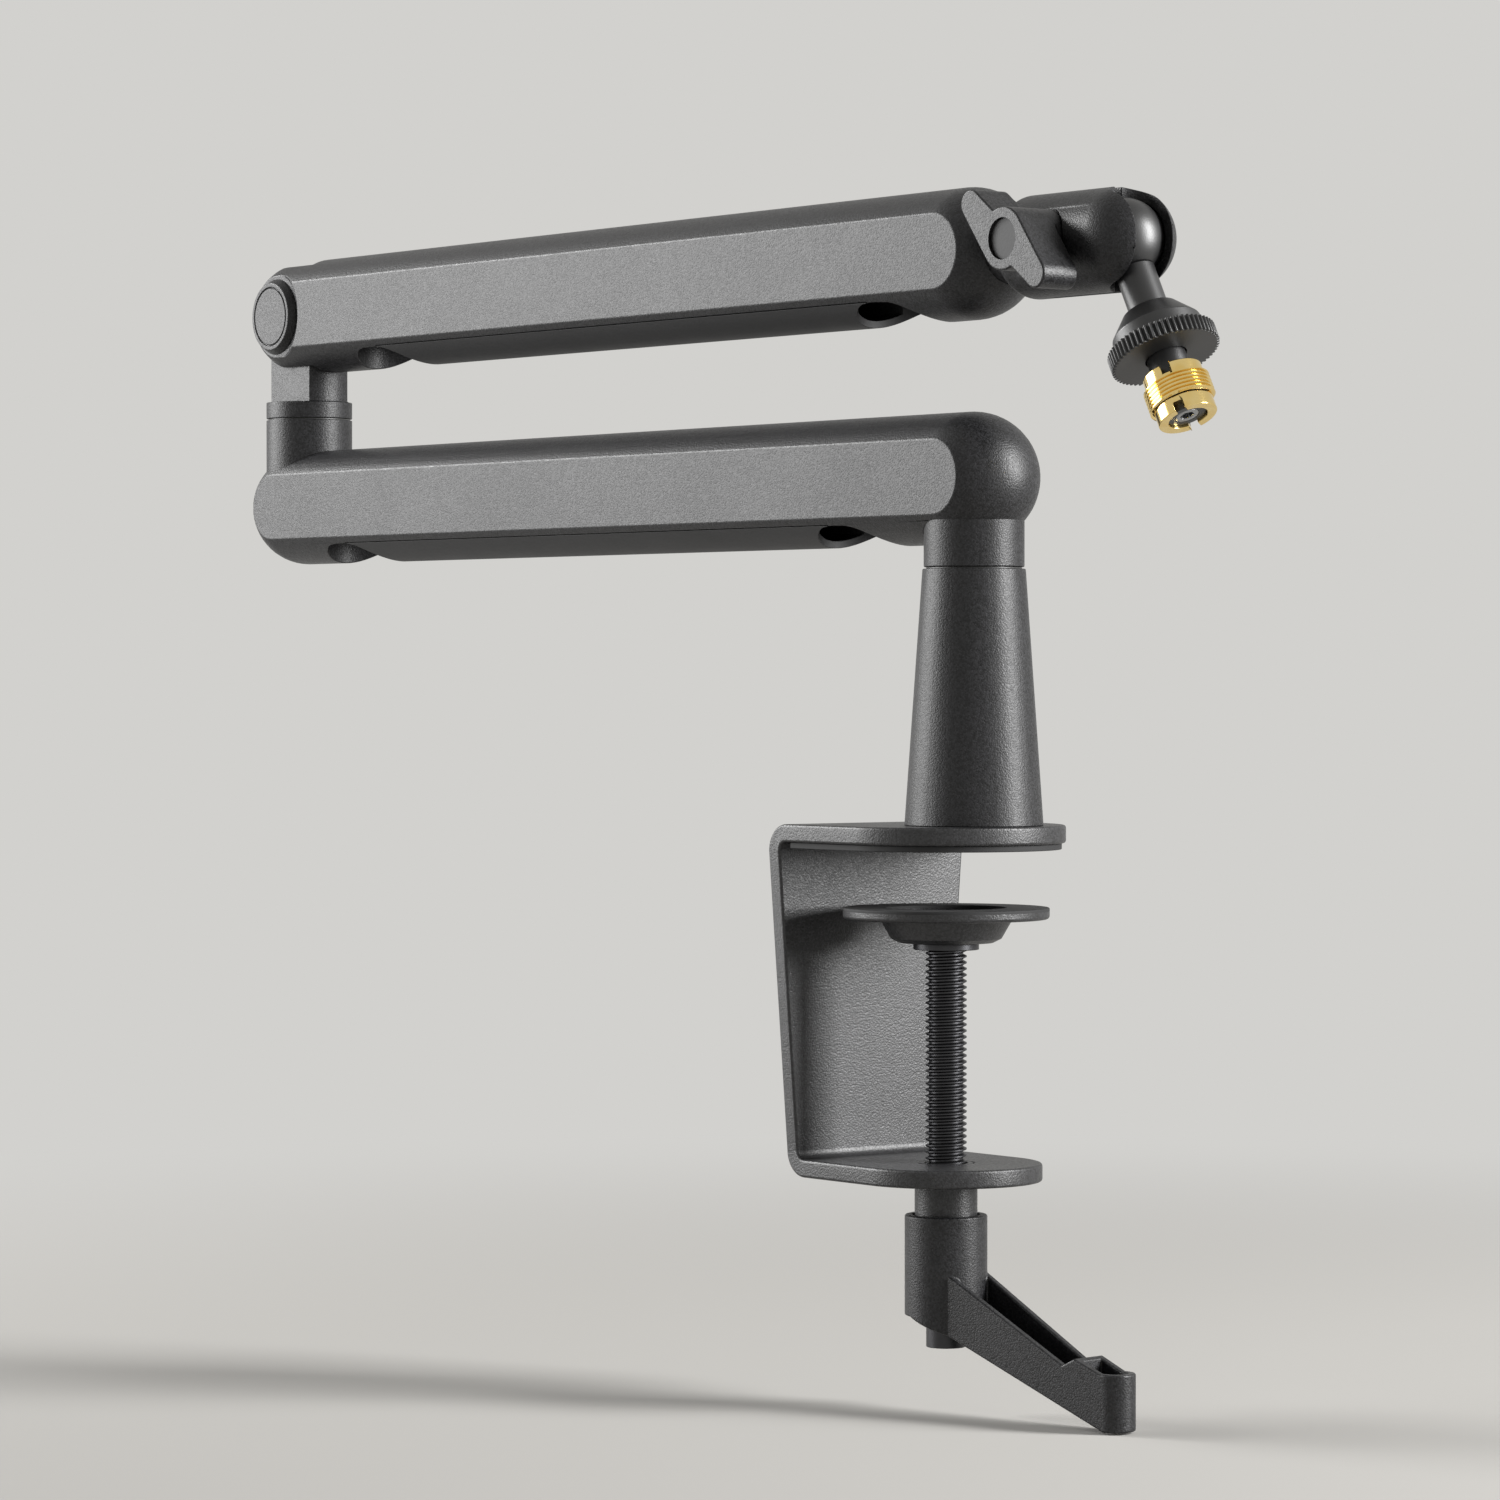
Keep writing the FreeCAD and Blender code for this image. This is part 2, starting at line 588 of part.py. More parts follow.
def cable_cover(prefix, z, near_x):
    """Curved strip that closes the channel, hollow inside, with two clip ribs."""
    low_x = near_x - cover_len
    edge = z - cover_edge - d.cover_gap
    reach = d.arm_r + d.free_gap
    skin = cylinder(f"{prefix}_cover_skin", d.arm_r, cover_len, (low_x, 0, z), "x")
    core = cylinder(f"{prefix}_cover_core", d.arm_r - d.cover_t, cover_len, (low_x, 0, z), "x")
    below = box(f"{prefix}_cover_below", (low_x, -reach, z - reach), (near_x, reach, edge))
    shell = cut(f"{prefix}_cover_shell", common(f"{prefix}_cover_strip", skin, below), core)
    outer = channel_half - d.cover_gap
    ribs = []
    for side, low, high in (("right", -outer, -outer + d.clip_t), ("left", outer - d.clip_t, outer)):
        rib = box(f"{prefix}_clip_{side}", (low_x, low, z - d.arm_r), (near_x, high, edge + d.clip_rise))
        inside = cylinder(f"{prefix}_clip_limit_{side}", d.arm_r - d.cover_t / 2, cover_len,
                          (low_x, 0, z), "x")
        ribs.append(common(f"{prefix}_clip_rib_{side}", rib, inside))
    whole = fuse(f"{prefix}_cover_whole", shell, *ribs)
    gaps = [
        cylinder(f"{prefix}_cover_hole_{side}", cable_r, reach * 2, (x, 0, z - reach))
        for side, x in (("far", low_x), ("near", near_x))
    ]
    return cut(f"{prefix}_cable_cover", whole, *gaps)


def lower_arm():
    blank, cuts = arm_blank("lower", lower_z, -d.cover_low_x)
    seat_low = lower_z - d.post_sink
    seat_high = lower_z + d.post_sink
    socket_len = d.arm_r + d.free_gap - d.post_sink
    low_socket = cylinder("collar_socket", d.post_r, socket_len, (0, 0, seat_low - socket_len))
    high_socket = cylinder("post_socket", d.post_r, socket_len, (elbow_x, 0, seat_high))
    bush_low = elbow_z - d.pin_depth - d.joint_gap
    bush_seat = cylinder("elbow_bush_seat", bush_r, seat_high - bush_low, (elbow_x, 0, bush_low))
    cut("lower_arm", blank, *cuts, low_socket, high_socket, bush_seat)
    collar = cylinder("collar_disc", d.post_r, seat_low - collar_z, (0, 0, collar_z))
    cut("lower_collar", collar, cylinder("collar_bore", d.pin_r, d.pin_seat, (0, 0, collar_z)))
    post = cylinder("elbow_post_rod", d.post_r, elbow_z - seat_high, (elbow_x, 0, seat_high))
    cut("elbow_post", post, cylinder("elbow_post_bore", bush_r, elbow_z - seat_high, (elbow_x, 0, seat_high)))
    return ["lower_arm", "lower_collar", "elbow_post"]


def elbow_knuckle():
    """Disc on the swivel and a flat-sided tongue for the tilt hinge."""
    disc = cylinder("knuckle_disc", d.post_r, d.knuckle_t, (elbow_x, 0, knuckle_z))
    post = cylinder("tongue_post", d.tongue_r, upper_z - knuckle_top, (elbow_x, 0, knuckle_top))
    head = cylinder("tongue_head", d.tongue_r, tongue_half * 2, (elbow_x, -tongue_half, upper_z), "y")
    reach = d.tongue_r + d.free_gap
    sides = box("tongue_sides", (elbow_x - reach, -tongue_half, knuckle_top),
                (elbow_x + reach, tongue_half, upper_z))
    tongue = common("tongue", post, sides)
    hinge = cylinder("tongue_bore", d.hinge_bolt_r + d.run_gap, tongue_half * 2,
                     (elbow_x, -tongue_half, upper_z), "y")
    pin = cylinder("knuckle_pin_bore", d.pin_r, d.pin_seat, (elbow_x, 0, knuckle_z))
    return cut("elbow_knuckle", fuse("knuckle_blank", disc, tongue, head), hinge, pin)


def upper_arm():
    """Arm forked at the elbow, with dished round faces for the hinge caps and a seat for the neck."""
    blank, cuts = arm_blank("upper", upper_z, -d.cover_up_x)
    reach = d.arm_r + d.free_gap
    slot = box("fork_slot", (elbow_x - reach, -fork_half, upper_z - reach),
               (elbow_x + d.slot_depth, fork_half, upper_z + reach))
    deep = reach - hinge_face
    seat_r = d.cap_r + d.cap_flare + d.hinge_seat
    mouth_r = seat_r + d.hinge_slope * deep
    faces = [
        cone("hinge_face_right", mouth_r, seat_r, deep, (elbow_x, -reach, upper_z), "y"),
        cone("hinge_face_left", seat_r, mouth_r, deep, (elbow_x, hinge_face, upper_z), "y"),
    ]
    bolt = cylinder("hinge_bolt_hole", d.hinge_bolt_r, hinge_face * 2,
                    (elbow_x, -hinge_face, upper_z), "y")
    neck_x = d.arm_r - d.neck_sink
    neck = cylinder("neck_seat", d.neck_r, d.neck_sink, (neck_x, 0, upper_z), "x")
    return cut("upper_arm", blank, *cuts, slot, *faces, bolt, neck)


def hinge():
    """Bolt, friction washers and the two flared, grooved caps of the tilt hinge."""
    cylinder("hinge_bolt", d.hinge_bolt_r, hinge_face * 2, (elbow_x, -hinge_face, upper_z), "y")
    washers = [
        ring(f"friction_washer_{side}", d.tongue_r, d.hinge_bolt_r, d.friction_t, (elbow_x, y, upper_z), "y")
        for side, y in (("right", -fork_half), ("left", fork_half - d.friction_t))
    ]
    pair = named("Part::Compound", "hinge_washers")
    pair.Links = washers
    for side, turn in (("near", 90), ("far", -90)):
        cap = turned(f"hinge_cap_{side}", [
            (0, 0), (d.cap_r + d.cap_flare, 0), (d.cap_r, d.cap_t), (d.cap_groove_r + d.groove_w, d.cap_t),
            (d.cap_groove_r + d.groove_w, d.cap_t - d.groove_d), (d.cap_groove_r, d.cap_t - d.groove_d),
            (d.cap_groove_r, d.cap_t), (0, d.cap_t),
        ])
        y = -hinge_face if side == "near" else hinge_face
        place(cap, (elbow_x, y, upper_z), Rotation(Vector(1, 0, 0), turn))
    return ["hinge_bolt", "hinge_washers", "hinge_cap_near", "hinge_cap_far"]


def head():
    """Neck and split ball housing: a round end about the ball, a round-ended stem slot and a slit."""
    neck_x = d.arm_r - d.neck_sink
    neck_len = d.head_start + d.neck_sink - neck_x
    cylinder("head_neck", d.neck_r, neck_len, (neck_x, 0, upper_z), "x")
    length = d.ball_x - d.head_start
    barrel = turned("head_barrel", [(0, 0), (d.head_r, 0), (d.head_r, length), (0, length)])
    rounded(barrel, "head_back_round", d.head_round,
            lambda edge: edge.BoundBox.ZMax < TOUCH and edge.BoundBox.XLength > d.head_r.value)
    place(barrel, (d.head_start, 0, upper_z), ALONG["x"])
    reach = d.head_r + d.free_gap
    blank = fuse("head_blank", barrel, dome("head_end", d.head_r, ball_spot, 90))
    slot_x = d.ball_x - d.slot_back + d.ball_slot
    slot = box("stem_slot", (slot_x, -d.ball_slot, upper_z - reach),
               (d.ball_x + reach, d.ball_slot, upper_z + reach))
    slot_end = cylinder("stem_slot_end", d.ball_slot, reach * 2, (slot_x, 0, upper_z - reach))
    slit = box("clamp_slit", (d.ball_x - d.slit_back, -d.slit_half, upper_z - reach),
               (d.ball_x, d.slit_half, upper_z + reach))
    socket = sphere("ball_socket", d.ball_r + d.free_gap, ball_spot)
    seat_y = root(d.head_r * d.head_r - d.knob_hub_r * d.knob_hub_r)
    knob = cylinder("knob_seat", d.knob_hub_r + d.free_gap, d.head_r,
                    (d.knob_x, -seat_y - d.head_r, upper_z), "y")
    bore = cylinder("stud_bore", d.stud_r, d.head_r * 2, (d.knob_x, -d.head_r, upper_z), "y")
    stud_seat = cylinder("stud_head_seat", d.stud_head_r, d.head_r,
                         (d.knob_x, d.head_r - d.stud_head_t, upper_z), "y")
    neck = cylinder("head_neck_seat", d.neck_r, d.neck_sink, (d.head_start, 0, upper_z), "x")
    cut("head_housing", blank, slot, slot_end, slit, socket, knob, bore, stud_seat, neck)
    return seat_y


def wing_knob(seat_y):
    """Knob with two wings, each tangent to its hub on one side, and a plain cap in its recess."""
    back = -seat_y - d.free_gap
    hub = cylinder("knob_hub", d.knob_hub_r, d.knob_face + back, (0, 0, 0))
    tip = d.knob_span / 2 - d.wing_r
    low = d.knob_face + back - d.knob_wing_t
    share = (d.knob_hub_r - d.wing_r) / tip
    rise = root(1 - share * share)
    wings = []
    for side, way in (("upper", 1), ("lower", -1)):
        wings.append(cylinder(f"wing_tip_{side}", d.wing_r, d.knob_wing_t, (tip * way, 0, low)))
        run = slab(f"wing_run_{side}", "XY_Plane", [
            (0, 0), (0, d.wing_r * -way), (tip * way, d.wing_r * -way),
            ((tip + d.wing_r * share) * way, d.wing_r * rise * way),
            (d.knob_hub_r * share * way, d.knob_hub_r * rise * way),
        ], d.knob_wing_t)
        wings.append(place(run, (0, 0, low)))
    recess = cylinder("knob_recess", d.knob_recess_r, d.knob_recess_d,
                      (0, 0, d.knob_face + back - d.knob_recess_d))
    bore = cylinder("knob_bore", d.stud_r + d.run_gap, d.stud_reach + back + d.free_gap)
    blank = eased("knob_eased", fuse("knob_blank", hub, *wings), d.wing_r)
    knob = cut("wing_knob", blank, recess, bore)
    face_on = Rotation(Vector(1, 0, 0), 90) * Rotation(Vector(0, 0, 1), 180 - d.wing_angle.value)
    place(knob, (d.knob_x, back, upper_z), face_on)
    cap_y = -d.knob_face + d.knob_recess_d - d.knob_cap_t
    cylinder("knob_cap", d.knob_recess_r, d.knob_cap_t, (d.knob_x, cap_y, upper_z), "y")
    shank = cylinder("stud_shank", d.stud_r, d.stud_reach + d.head_r - d.stud_head_t,
                     (d.knob_x, -d.stud_reach, upper_z), "y")
    stud_head = cylinder("stud_head", d.stud_head_r, d.stud_head_t,
                         (d.knob_x, d.head_r - d.stud_head_t, upper_z), "y")
    fuse("clamp_stud", shank, stud_head)
    return ["wing_knob", "knob_cap", "clamp_stud"]


def on_stem(thing):
    """Lay a piece made along +Z from the ball's centre along the tilted stem."""
    place(thing, ball_spot, Rotation(Vector(0, 1, 0), 180 - d.stem_tilt.value))
    thing.setExpression("Placement.Rotation.Angle", (180 - d.stem_tilt).text)
    return thing


def ball_and_stem():
    bore = d.stem_pin_r + d.run_gap
    flat = cylinder("ball_flat", d.ball_r, d.ball_r, (0, 0, d.ball_cut))
    hole = cylinder("ball_bore", bore, d.ball_r * 2, (0, 0, 0))
    on_stem(cut("head_ball", sphere("ball_round", d.ball_r, ORIGIN), flat, hole))
    start = d.ball_cut + d.run_gap
    end = adapter_end - d.stud_back
    stem = turned("stem_rod", [
        (0, d.run_gap), (d.stem_pin_r, d.run_gap), (d.stem_pin_r, start), (d.stem_r, start),
        (d.stem_r, end), (d.socket_r, end), (d.socket_r, end - d.socket_len), (0, end - d.socket_len),
    ])
    on_stem(stem)
    stem.Label = "ball_stem"
    plug = cylinder("socket_rod", d.socket_r, d.socket_len, (0, 0, end - d.socket_len))
    hexagon = named("Part::Prism", "socket_hexagon")
    hexagon.Polygon = 6
    bind(hexagon, Circumradius=d.hex_flats / root(as_size(3)), Height=d.hex_depth)
    place(hexagon, (0, 0, end - d.hex_depth))
    on_stem(cut("stem_end_screw", plug, hexagon))


def thumb_nut():
    """Cone, smooth collar and knurled rim that locks the adapter on the stem."""
    bore = d.stem_r + d.free_gap
    cone_end = d.nut_top + d.nut_cone_len
    collar_end = cone_end + d.nut_collar_len
    upper = turned("nut_upper", [
        (bore, d.nut_top), (d.nut_cone_r, d.nut_top), (d.nut_collar_r, cone_end),
        (d.nut_collar_r, collar_end), (bore, collar_end),
    ])
    rim_shape = toothed(d.nut_r.value, d.nut_tooth.value, int(d.nut_teeth.value), d.nut_len.value)
    rim = solid("nut_rim", rim_shape, (0, 0, collar_end))
    hole = cylinder("nut_rim_hole", bore, d.nut_len, (0, 0, collar_end))
    on_stem(fuse("thumb_nut", upper, cut("nut_rim_ring", rim, hole)))


def thread_adapter():
    """Brass sleeve: a thread between two rings, each slotted across for a driver."""
    ridged = solid("adapter_thread", threaded(d.thread_r.value, d.thread_depth.value,
                                              d.thread_pitch.value, thread_low.value, thread_high.value))
    rings = [
        cylinder(f"adapter_ring_{side}", d.adapter_ring_r, length, (0, 0, low))
        for side, length, low in (
            ("top", d.adapter_ring_len, adapter_start), ("end", d.adapter_end_len, thread_high),
        )
    ]
    hole = cylinder("adapter_hole", d.stem_r, adapter_end - adapter_start, (0, 0, adapter_start))
    half = d.adapter_slot_w / 2
    reach = d.thread_r
    blocks = [
        box(f"adapter_slot_{side}", (-half, -reach, low), (half, reach, high))
        for side, low, high in (
            ("top", adapter_start, adapter_start + d.adapter_slot_w),
            ("end", adapter_end - d.adapter_slot_w, adapter_end),
        )
    ]
    turn = Rotation(Vector(0, 0, -1), d.adapter_slot_turn.value)
    slots = place(fuse("adapter_slots", *blocks), ORIGIN, turn)
    slots.setExpression("Placement.Rotation.Angle", d.adapter_slot_turn.text)
    on_stem(cut("thread_adapter", fuse("adapter_blank", ridged, *rings), hole, slots))


def pressure_pad():
    """Dished plate with a rubber ring, its collar and the retainer that keep it on the screw."""
    bore = d.spigot_r + d.pad_play
    rim_low = -d.pad_top - d.pad_t
    inside_r = d.dish_r - d.dish_wall
    floor_z = dish_low + d.dish_wall
    steel_top = -d.pad_top - d.pad_rubber_t
    plate = turned("pressure_pad", [
        (bore, dish_low), (d.dish_low_r, dish_low), (d.dish_low_r + d.dish_bend, dish_low + d.dish_bend / 2),
        (d.dish_r, rim_low), (d.pad_r, rim_low), (d.pad_r, steel_top), (inside_r, steel_top),
        (d.dish_low_r, floor_z), (bore, floor_z),
    ])
    place(plate, (screw_axis, 0, 0))
    ring("pad_rubber", d.pad_r, inside_r, d.pad_rubber_t, (screw_axis, 0, steel_top))
    ring("pad_collar", d.collar_r, d.spigot_r, d.collar_t, (screw_axis, 0, collar_low))
    cap_z = floor_z + d.pad_play
    cap = cylinder("retainer_head", d.retainer_r, d.retainer_t, (screw_axis, 0, cap_z))
    shank = cylinder("retainer_shank", d.retainer_shank_r, d.retainer_shank_len,
                     (screw_axis, 0, cap_z - d.retainer_shank_len))
    fuse("pad_retainer", cap, shank)
    return cap_z


def clamp_screw(spigot_top):
    """Threaded rod with a plain spigot for the pad and a plain tail for the lever."""
    ridged = solid("screw_thread", threaded(d.screw_r.value, d.screw_depth.value, d.screw_pitch.value,
                                            hub_floor.value, collar_low.value), (screw_axis, 0, 0))
    spigot = cylinder("screw_spigot", d.spigot_r, spigot_top - collar_low, (screw_axis, 0, collar_low))
    tail = cylinder("screw_tail", d.tail_r, hub_floor - hub_low, (screw_axis, 0, hub_low))
    top_hole = cylinder("screw_top_hole", d.retainer_shank_r, d.retainer_shank_len,
                        (screw_axis, 0, spigot_top - d.retainer_shank_len))
    low_hole = cylinder("screw_low_hole", d.lever_shank_r, d.lever_shank_len, (screw_axis, 0, hub_low))
    cut("clamp_screw", fuse("screw_blank", ridged, spigot, tail), top_hole, low_hole)
    bolt_head = cylinder("lever_bolt_head", d.lever_bolt_r, d.lever_bolt_t,
                         (screw_axis, 0, hub_low - d.lever_bolt_t))
    bolt_shank = cylinder("lever_bolt_shank", d.lever_shank_r, d.lever_shank_len, (screw_axis, 0, hub_low))
    fuse("lever_bolt", bolt_head, bolt_shank)


def lever_handle():
    """Hub with a sloping channel lever, modelled along +X about the screw axis and then turned."""
    top_fall = tangent(d.lever_top_angle)
    low_fall = tangent(d.lever_low_angle)
    top_start = hub_top - d.lever_top_drop
    notch_x = d.lever_len - d.notch_back
    rib_x = d.lever_len - d.rib_back
    notch_low = top_start - notch_x * top_fall
    step_x = notch_x + d.notch_run
    tip_x = d.lever_len - d.lever_tip_flat
    tip_top = notch_low + d.notch_rise - (tip_x - step_x) * low_fall
    end_x = d.lever_len + d.lever_end_r
    low_end = hub_low - (d.hub_back + d.lever_len) * low_fall
    side = slab("lever_side", "XZ_Plane", [
        (0, top_start), (notch_x, notch_low), (step_x, notch_low + d.notch_rise), (tip_x, tip_top),
        (end_x, tip_top), (end_x, low_end), (d.lever_len, low_end), (0, hub_low - d.hub_back * low_fall),
    ], d.hub_r * 2, midplane=True)
    span = hub_top - low_end
    plan_points = [(0, -d.lever_half), (d.lever_len, -d.lever_end_r),
                   (d.lever_len, d.lever_end_r), (0, d.lever_half)]
    plan = place(slab("lever_plan", "XY_Plane", plan_points, span), (0, 0, low_end))
    end = cylinder("lever_end", d.lever_end_r, span, (d.lever_len, 0, low_end))
    lever = common("lever_blank", side, fuse("lever_outline", plan, end))
    under = slab("hub_underside", "XZ_Plane", [
        (-d.hub_back, hub_low), (-d.hub_back, low_end), (d.hub_r * 2, low_end),
        (d.hub_r * 2, hub_low - (d.hub_back + d.hub_r * 2) * low_fall),
    ], d.hub_r * 3, midplane=True)
    below = box("hub_below", (-d.hub_r * 2, -d.hub_r * 2, low_end), (-d.hub_back, d.hub_r * 2, hub_low))
    hub = cut("hub_blank", cylinder("hub_rod", d.hub_r, span, (0, 0, low_end)), under, below)

    wall = d.lever_wall
    floor_rise = d.lever_floor
    inside_points = [(0, -d.lever_half + wall), (d.lever_len, -d.lever_end_r + wall),
                     (d.lever_len, d.lever_end_r - wall), (0, d.lever_half - wall)]
    hollow_plan = place(slab("hollow_plan", "XY_Plane", inside_points, span), (0, 0, low_end))
    hollow_end = cylinder("hollow_end", d.lever_end_r - wall, span, (d.lever_len, 0, low_end))
    hollow_side = slab("hollow_side", "XZ_Plane", [
        (0, hub_low - d.hub_back * low_fall + floor_rise), (d.lever_len, low_end + floor_rise),
        (end_x, low_end + floor_rise), (end_x, hub_top), (0, hub_top),
    ], d.hub_r * 2, midplane=True)
    hollow = common("lever_hollow", fuse("hollow_outline", hollow_plan, hollow_end), hollow_side)
    rib = box("cross_rib", (rib_x, -d.hub_r, low_end), (rib_x + d.rib_t, d.hub_r, hub_top))
    keep = fuse("hollow_keep", rib, cylinder("hub_core", d.hub_r, span, (0, 0, low_end)))
    shell = cut("lever_shell", lever, cut("lever_pocket", hollow, keep))
    counterbore = cylinder("hub_counterbore", d.hub_r - d.hub_wall, d.hub_bore_len, (0, 0, hub_floor))
    bore = cylinder("hub_bore", d.tail_r, span, (0, 0, low_end))
    bolt_room = cylinder("hub_bolt_room", d.lever_bolt_r, hub_low - low_end, (0, 0, low_end))
    whole = eased("lever_eased", fuse("lever_whole", hub, shell), wall)
    handle = cut("lever_handle", whole, counterbore, bore, bolt_room)
    place(handle, (screw_axis, 0, 0), Rotation(Vector(0, 0, 1), d.lever_turn.value))
    handle.setExpression("Placement.Rotation.Angle", d.lever_turn.text)
    return handle


def build():
    """Make every piece and return the labels of those that are written."""
    clamp_bracket()
    jaw_liner()
    screw_bush()
    labels = ["clamp_bracket", "jaw_liner", "screw_bush"]
    labels += riser()
    labels += swivel("swivel", as_size(0), swivel_z)
    labels += lower_arm()
    cable_cover("lower", lower_z, -d.cover_low_x)
    labels += swivel("elbow", elbow_x, elbow_z)
    elbow_knuckle()
    upper_arm()
    cable_cover("upper", upper_z, -d.cover_up_x)
    labels += ["lower_cable_cover", "elbow_knuckle", "upper_arm", "upper_cable_cover"]
    labels += hinge()
    seat_y = head()
    labels += ["head_neck", "head_housing"]
    labels += wing_knob(seat_y)
    ball_and_stem()
    thumb_nut()
    thread_adapter()
    labels += ["head_ball", "ball_stem", "stem_end_screw", "thumb_nut", "thread_adapter"]
    spigot_top = pressure_pad()
    clamp_screw(spigot_top)
    lever_handle()
    labels += ["pressure_pad", "pad_rubber", "pad_collar", "pad_retainer"]
    labels += ["clamp_screw", "lever_bolt", "lever_handle"]
    return labels


def check_and_write(labels):
    doc.recompute()
    failed = [thing.Label for thing in doc.Objects if {"Invalid", "Error"} & set(thing.State)]
    pieces = [doc.getObjectsByLabel(label)[0] for label in labels]
    failed += [piece.Label for piece in pieces if piece.Shape.isNull() or not piece.Shape.isValid()]
    if failed:
        raise RuntimeError("pieces that failed: " + ", ".join(failed))
    os.makedirs("parts", exist_ok=True)
    for piece in pieces:
        piece.Shape.exportStep(f"parts/{piece.Label}.step")
        size = piece.Shape.BoundBox
        print(f"{piece.Label}: {len(piece.Shape.Solids)} solid, volume {piece.Shape.Volume:.1f}, "
              f"{size.XLength:.2f} x {size.YLength:.2f} x {size.ZLength:.2f}")


check_and_write(build())
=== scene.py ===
"""Finished pieces and finishes of a low-profile microphone boom arm.

The frame is in metres: origin on the riser's axis at the desk surface, +Z up, +X from the clamp's
back plate towards the jaw tips. The side with the clamping knob faces -Y.
"""

import json
import math

import bpy
from bpy.props import FloatProperty, FloatVectorProperty, IntProperty, PointerProperty
from mathutils import Matrix, Vector


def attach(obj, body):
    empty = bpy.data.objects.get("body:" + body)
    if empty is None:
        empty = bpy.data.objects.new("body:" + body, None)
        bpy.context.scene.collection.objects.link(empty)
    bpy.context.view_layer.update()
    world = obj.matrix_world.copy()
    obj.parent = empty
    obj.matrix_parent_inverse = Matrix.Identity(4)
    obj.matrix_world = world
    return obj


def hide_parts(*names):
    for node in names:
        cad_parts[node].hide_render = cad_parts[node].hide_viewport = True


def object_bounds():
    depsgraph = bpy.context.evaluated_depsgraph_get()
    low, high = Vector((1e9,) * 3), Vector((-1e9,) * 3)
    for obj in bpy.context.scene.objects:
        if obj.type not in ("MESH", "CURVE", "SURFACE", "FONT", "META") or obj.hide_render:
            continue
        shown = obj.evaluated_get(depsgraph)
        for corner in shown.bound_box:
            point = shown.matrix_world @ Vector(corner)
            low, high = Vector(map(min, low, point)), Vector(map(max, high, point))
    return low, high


bl_info = {
    "name": "Microphone Boom Arm",
    "version": (1, 0, 0),
    "blender": (4, 5, 0),
    "location": "3D View > Sidebar > Boom Arm",
    "description": "Models and finishes the pieces of a desk-clamp microphone boom arm",
    "category": "Object",
}

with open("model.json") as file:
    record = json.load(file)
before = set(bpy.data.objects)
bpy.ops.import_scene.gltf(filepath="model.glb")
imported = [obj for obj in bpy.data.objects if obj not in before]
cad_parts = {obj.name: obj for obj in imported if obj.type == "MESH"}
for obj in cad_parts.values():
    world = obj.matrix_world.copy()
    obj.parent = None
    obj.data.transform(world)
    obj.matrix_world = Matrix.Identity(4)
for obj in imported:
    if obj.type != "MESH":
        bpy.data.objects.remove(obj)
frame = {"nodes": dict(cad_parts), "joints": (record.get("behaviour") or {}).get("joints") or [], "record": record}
CAD_BOX = [list(corner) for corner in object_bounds()]

MM = 0.001

BODY_OF = {node: body
           for body, nodes in frame["record"]["behaviour"]["bodies"].items() for node in nodes}
JOINTS = {joint["name"]: joint for joint in frame["joints"]}

# Points closer than this are one point
WELD = 0.002 * MM

# Faces that meet at less than these angles make one flat, one smooth bend and one smooth flank
FLAT_ANGLE = math.radians(0.5)
BEND_ANGLE = math.radians(34)
FLANK_ANGLE = math.radians(25)

# Steps across a rounded edge and a pressed bend, and facets round a plain rod, a ring and the floor
EDGE_STEPS = 3
BEND_STEPS = 5
ROD_FACETS = 64
RING_FACETS = 96
FLOOR_FACETS = 96

# A thread's flat root and flat crest as shares of its pitch, and how near its largest radius the
# points of a crest lie
ROOT_SHARE = 0.25
CREST_SHARE = 0.2
CREST_BAND = 0.05 * MM

# The pad's dish bends between these shares of its rim's radius
DISH_INNER = 1 / 3
DISH_OUTER = 0.7

# A Mix node's colour sockets have the names of its other sockets, so they go by number
TONE_A, TONE_B, TONE_OUT = 6, 7, 2

# A Wave texture of scale 1 repeats its bands after this part of a unit
BAND_REPEAT = 2 * math.pi / 20

# The stage in metres: the floor's gap below the arm, how far the camera sees, where the lamps aim,
# and each lamp's place, width and height
FLOOR_GAP = 0.5 * MM
CAMERA_REACH = 50.0
LAMP_AIM = Vector((-0.12, 0.0, 0.06))
LAMPS = {
    "key": ((-1.2, -0.95, 0.3), 1.1, 0.8),
    "rim": ((1.1, 0.83, 0.5), 0.42, 1.05),
    "edge": ((-1.4, -0.62, 0.8), 0.5, 0.3),
}


# Settings


def linear(code):
    """Linear red, green and blue of an sRGB hex colour."""
    shares = [int(code[start:start + 2], 16) / 255 for start in (1, 3, 5)]
    return tuple(share / 12.92 if share <= 0.04045 else ((share + 0.055) / 1.055) ** 2.4
                 for share in shares)


def length(name, description, millimetres):
    """A length, given in millimetres and kept in metres."""
    return FloatProperty(name=name, description=description, default=millimetres * MM,
                         unit="LENGTH", subtype="DISTANCE", precision=5)


def angle(name, description, degrees):
    """An angle, given in degrees and kept in radians."""
    return FloatProperty(name=name, description=description, default=math.radians(degrees),
                         subtype="ANGLE")


def lens_size(name, description, millimetres):
    """A size inside the camera, which is kept in millimetres."""
    return FloatProperty(name=name, description=description, default=millimetres, unit="CAMERA")


def watts(name, description, power):
    """The power of a lamp."""
    return FloatProperty(name=name, description=description, default=power, min=0.0, unit="POWER")


def colour(name, description, code):
    """A colour, given as sRGB hex and kept linear."""
    return FloatVectorProperty(name=name, description=description, default=linear(code),
                               subtype="COLOR", size=3, min=0.0, max=1.0)


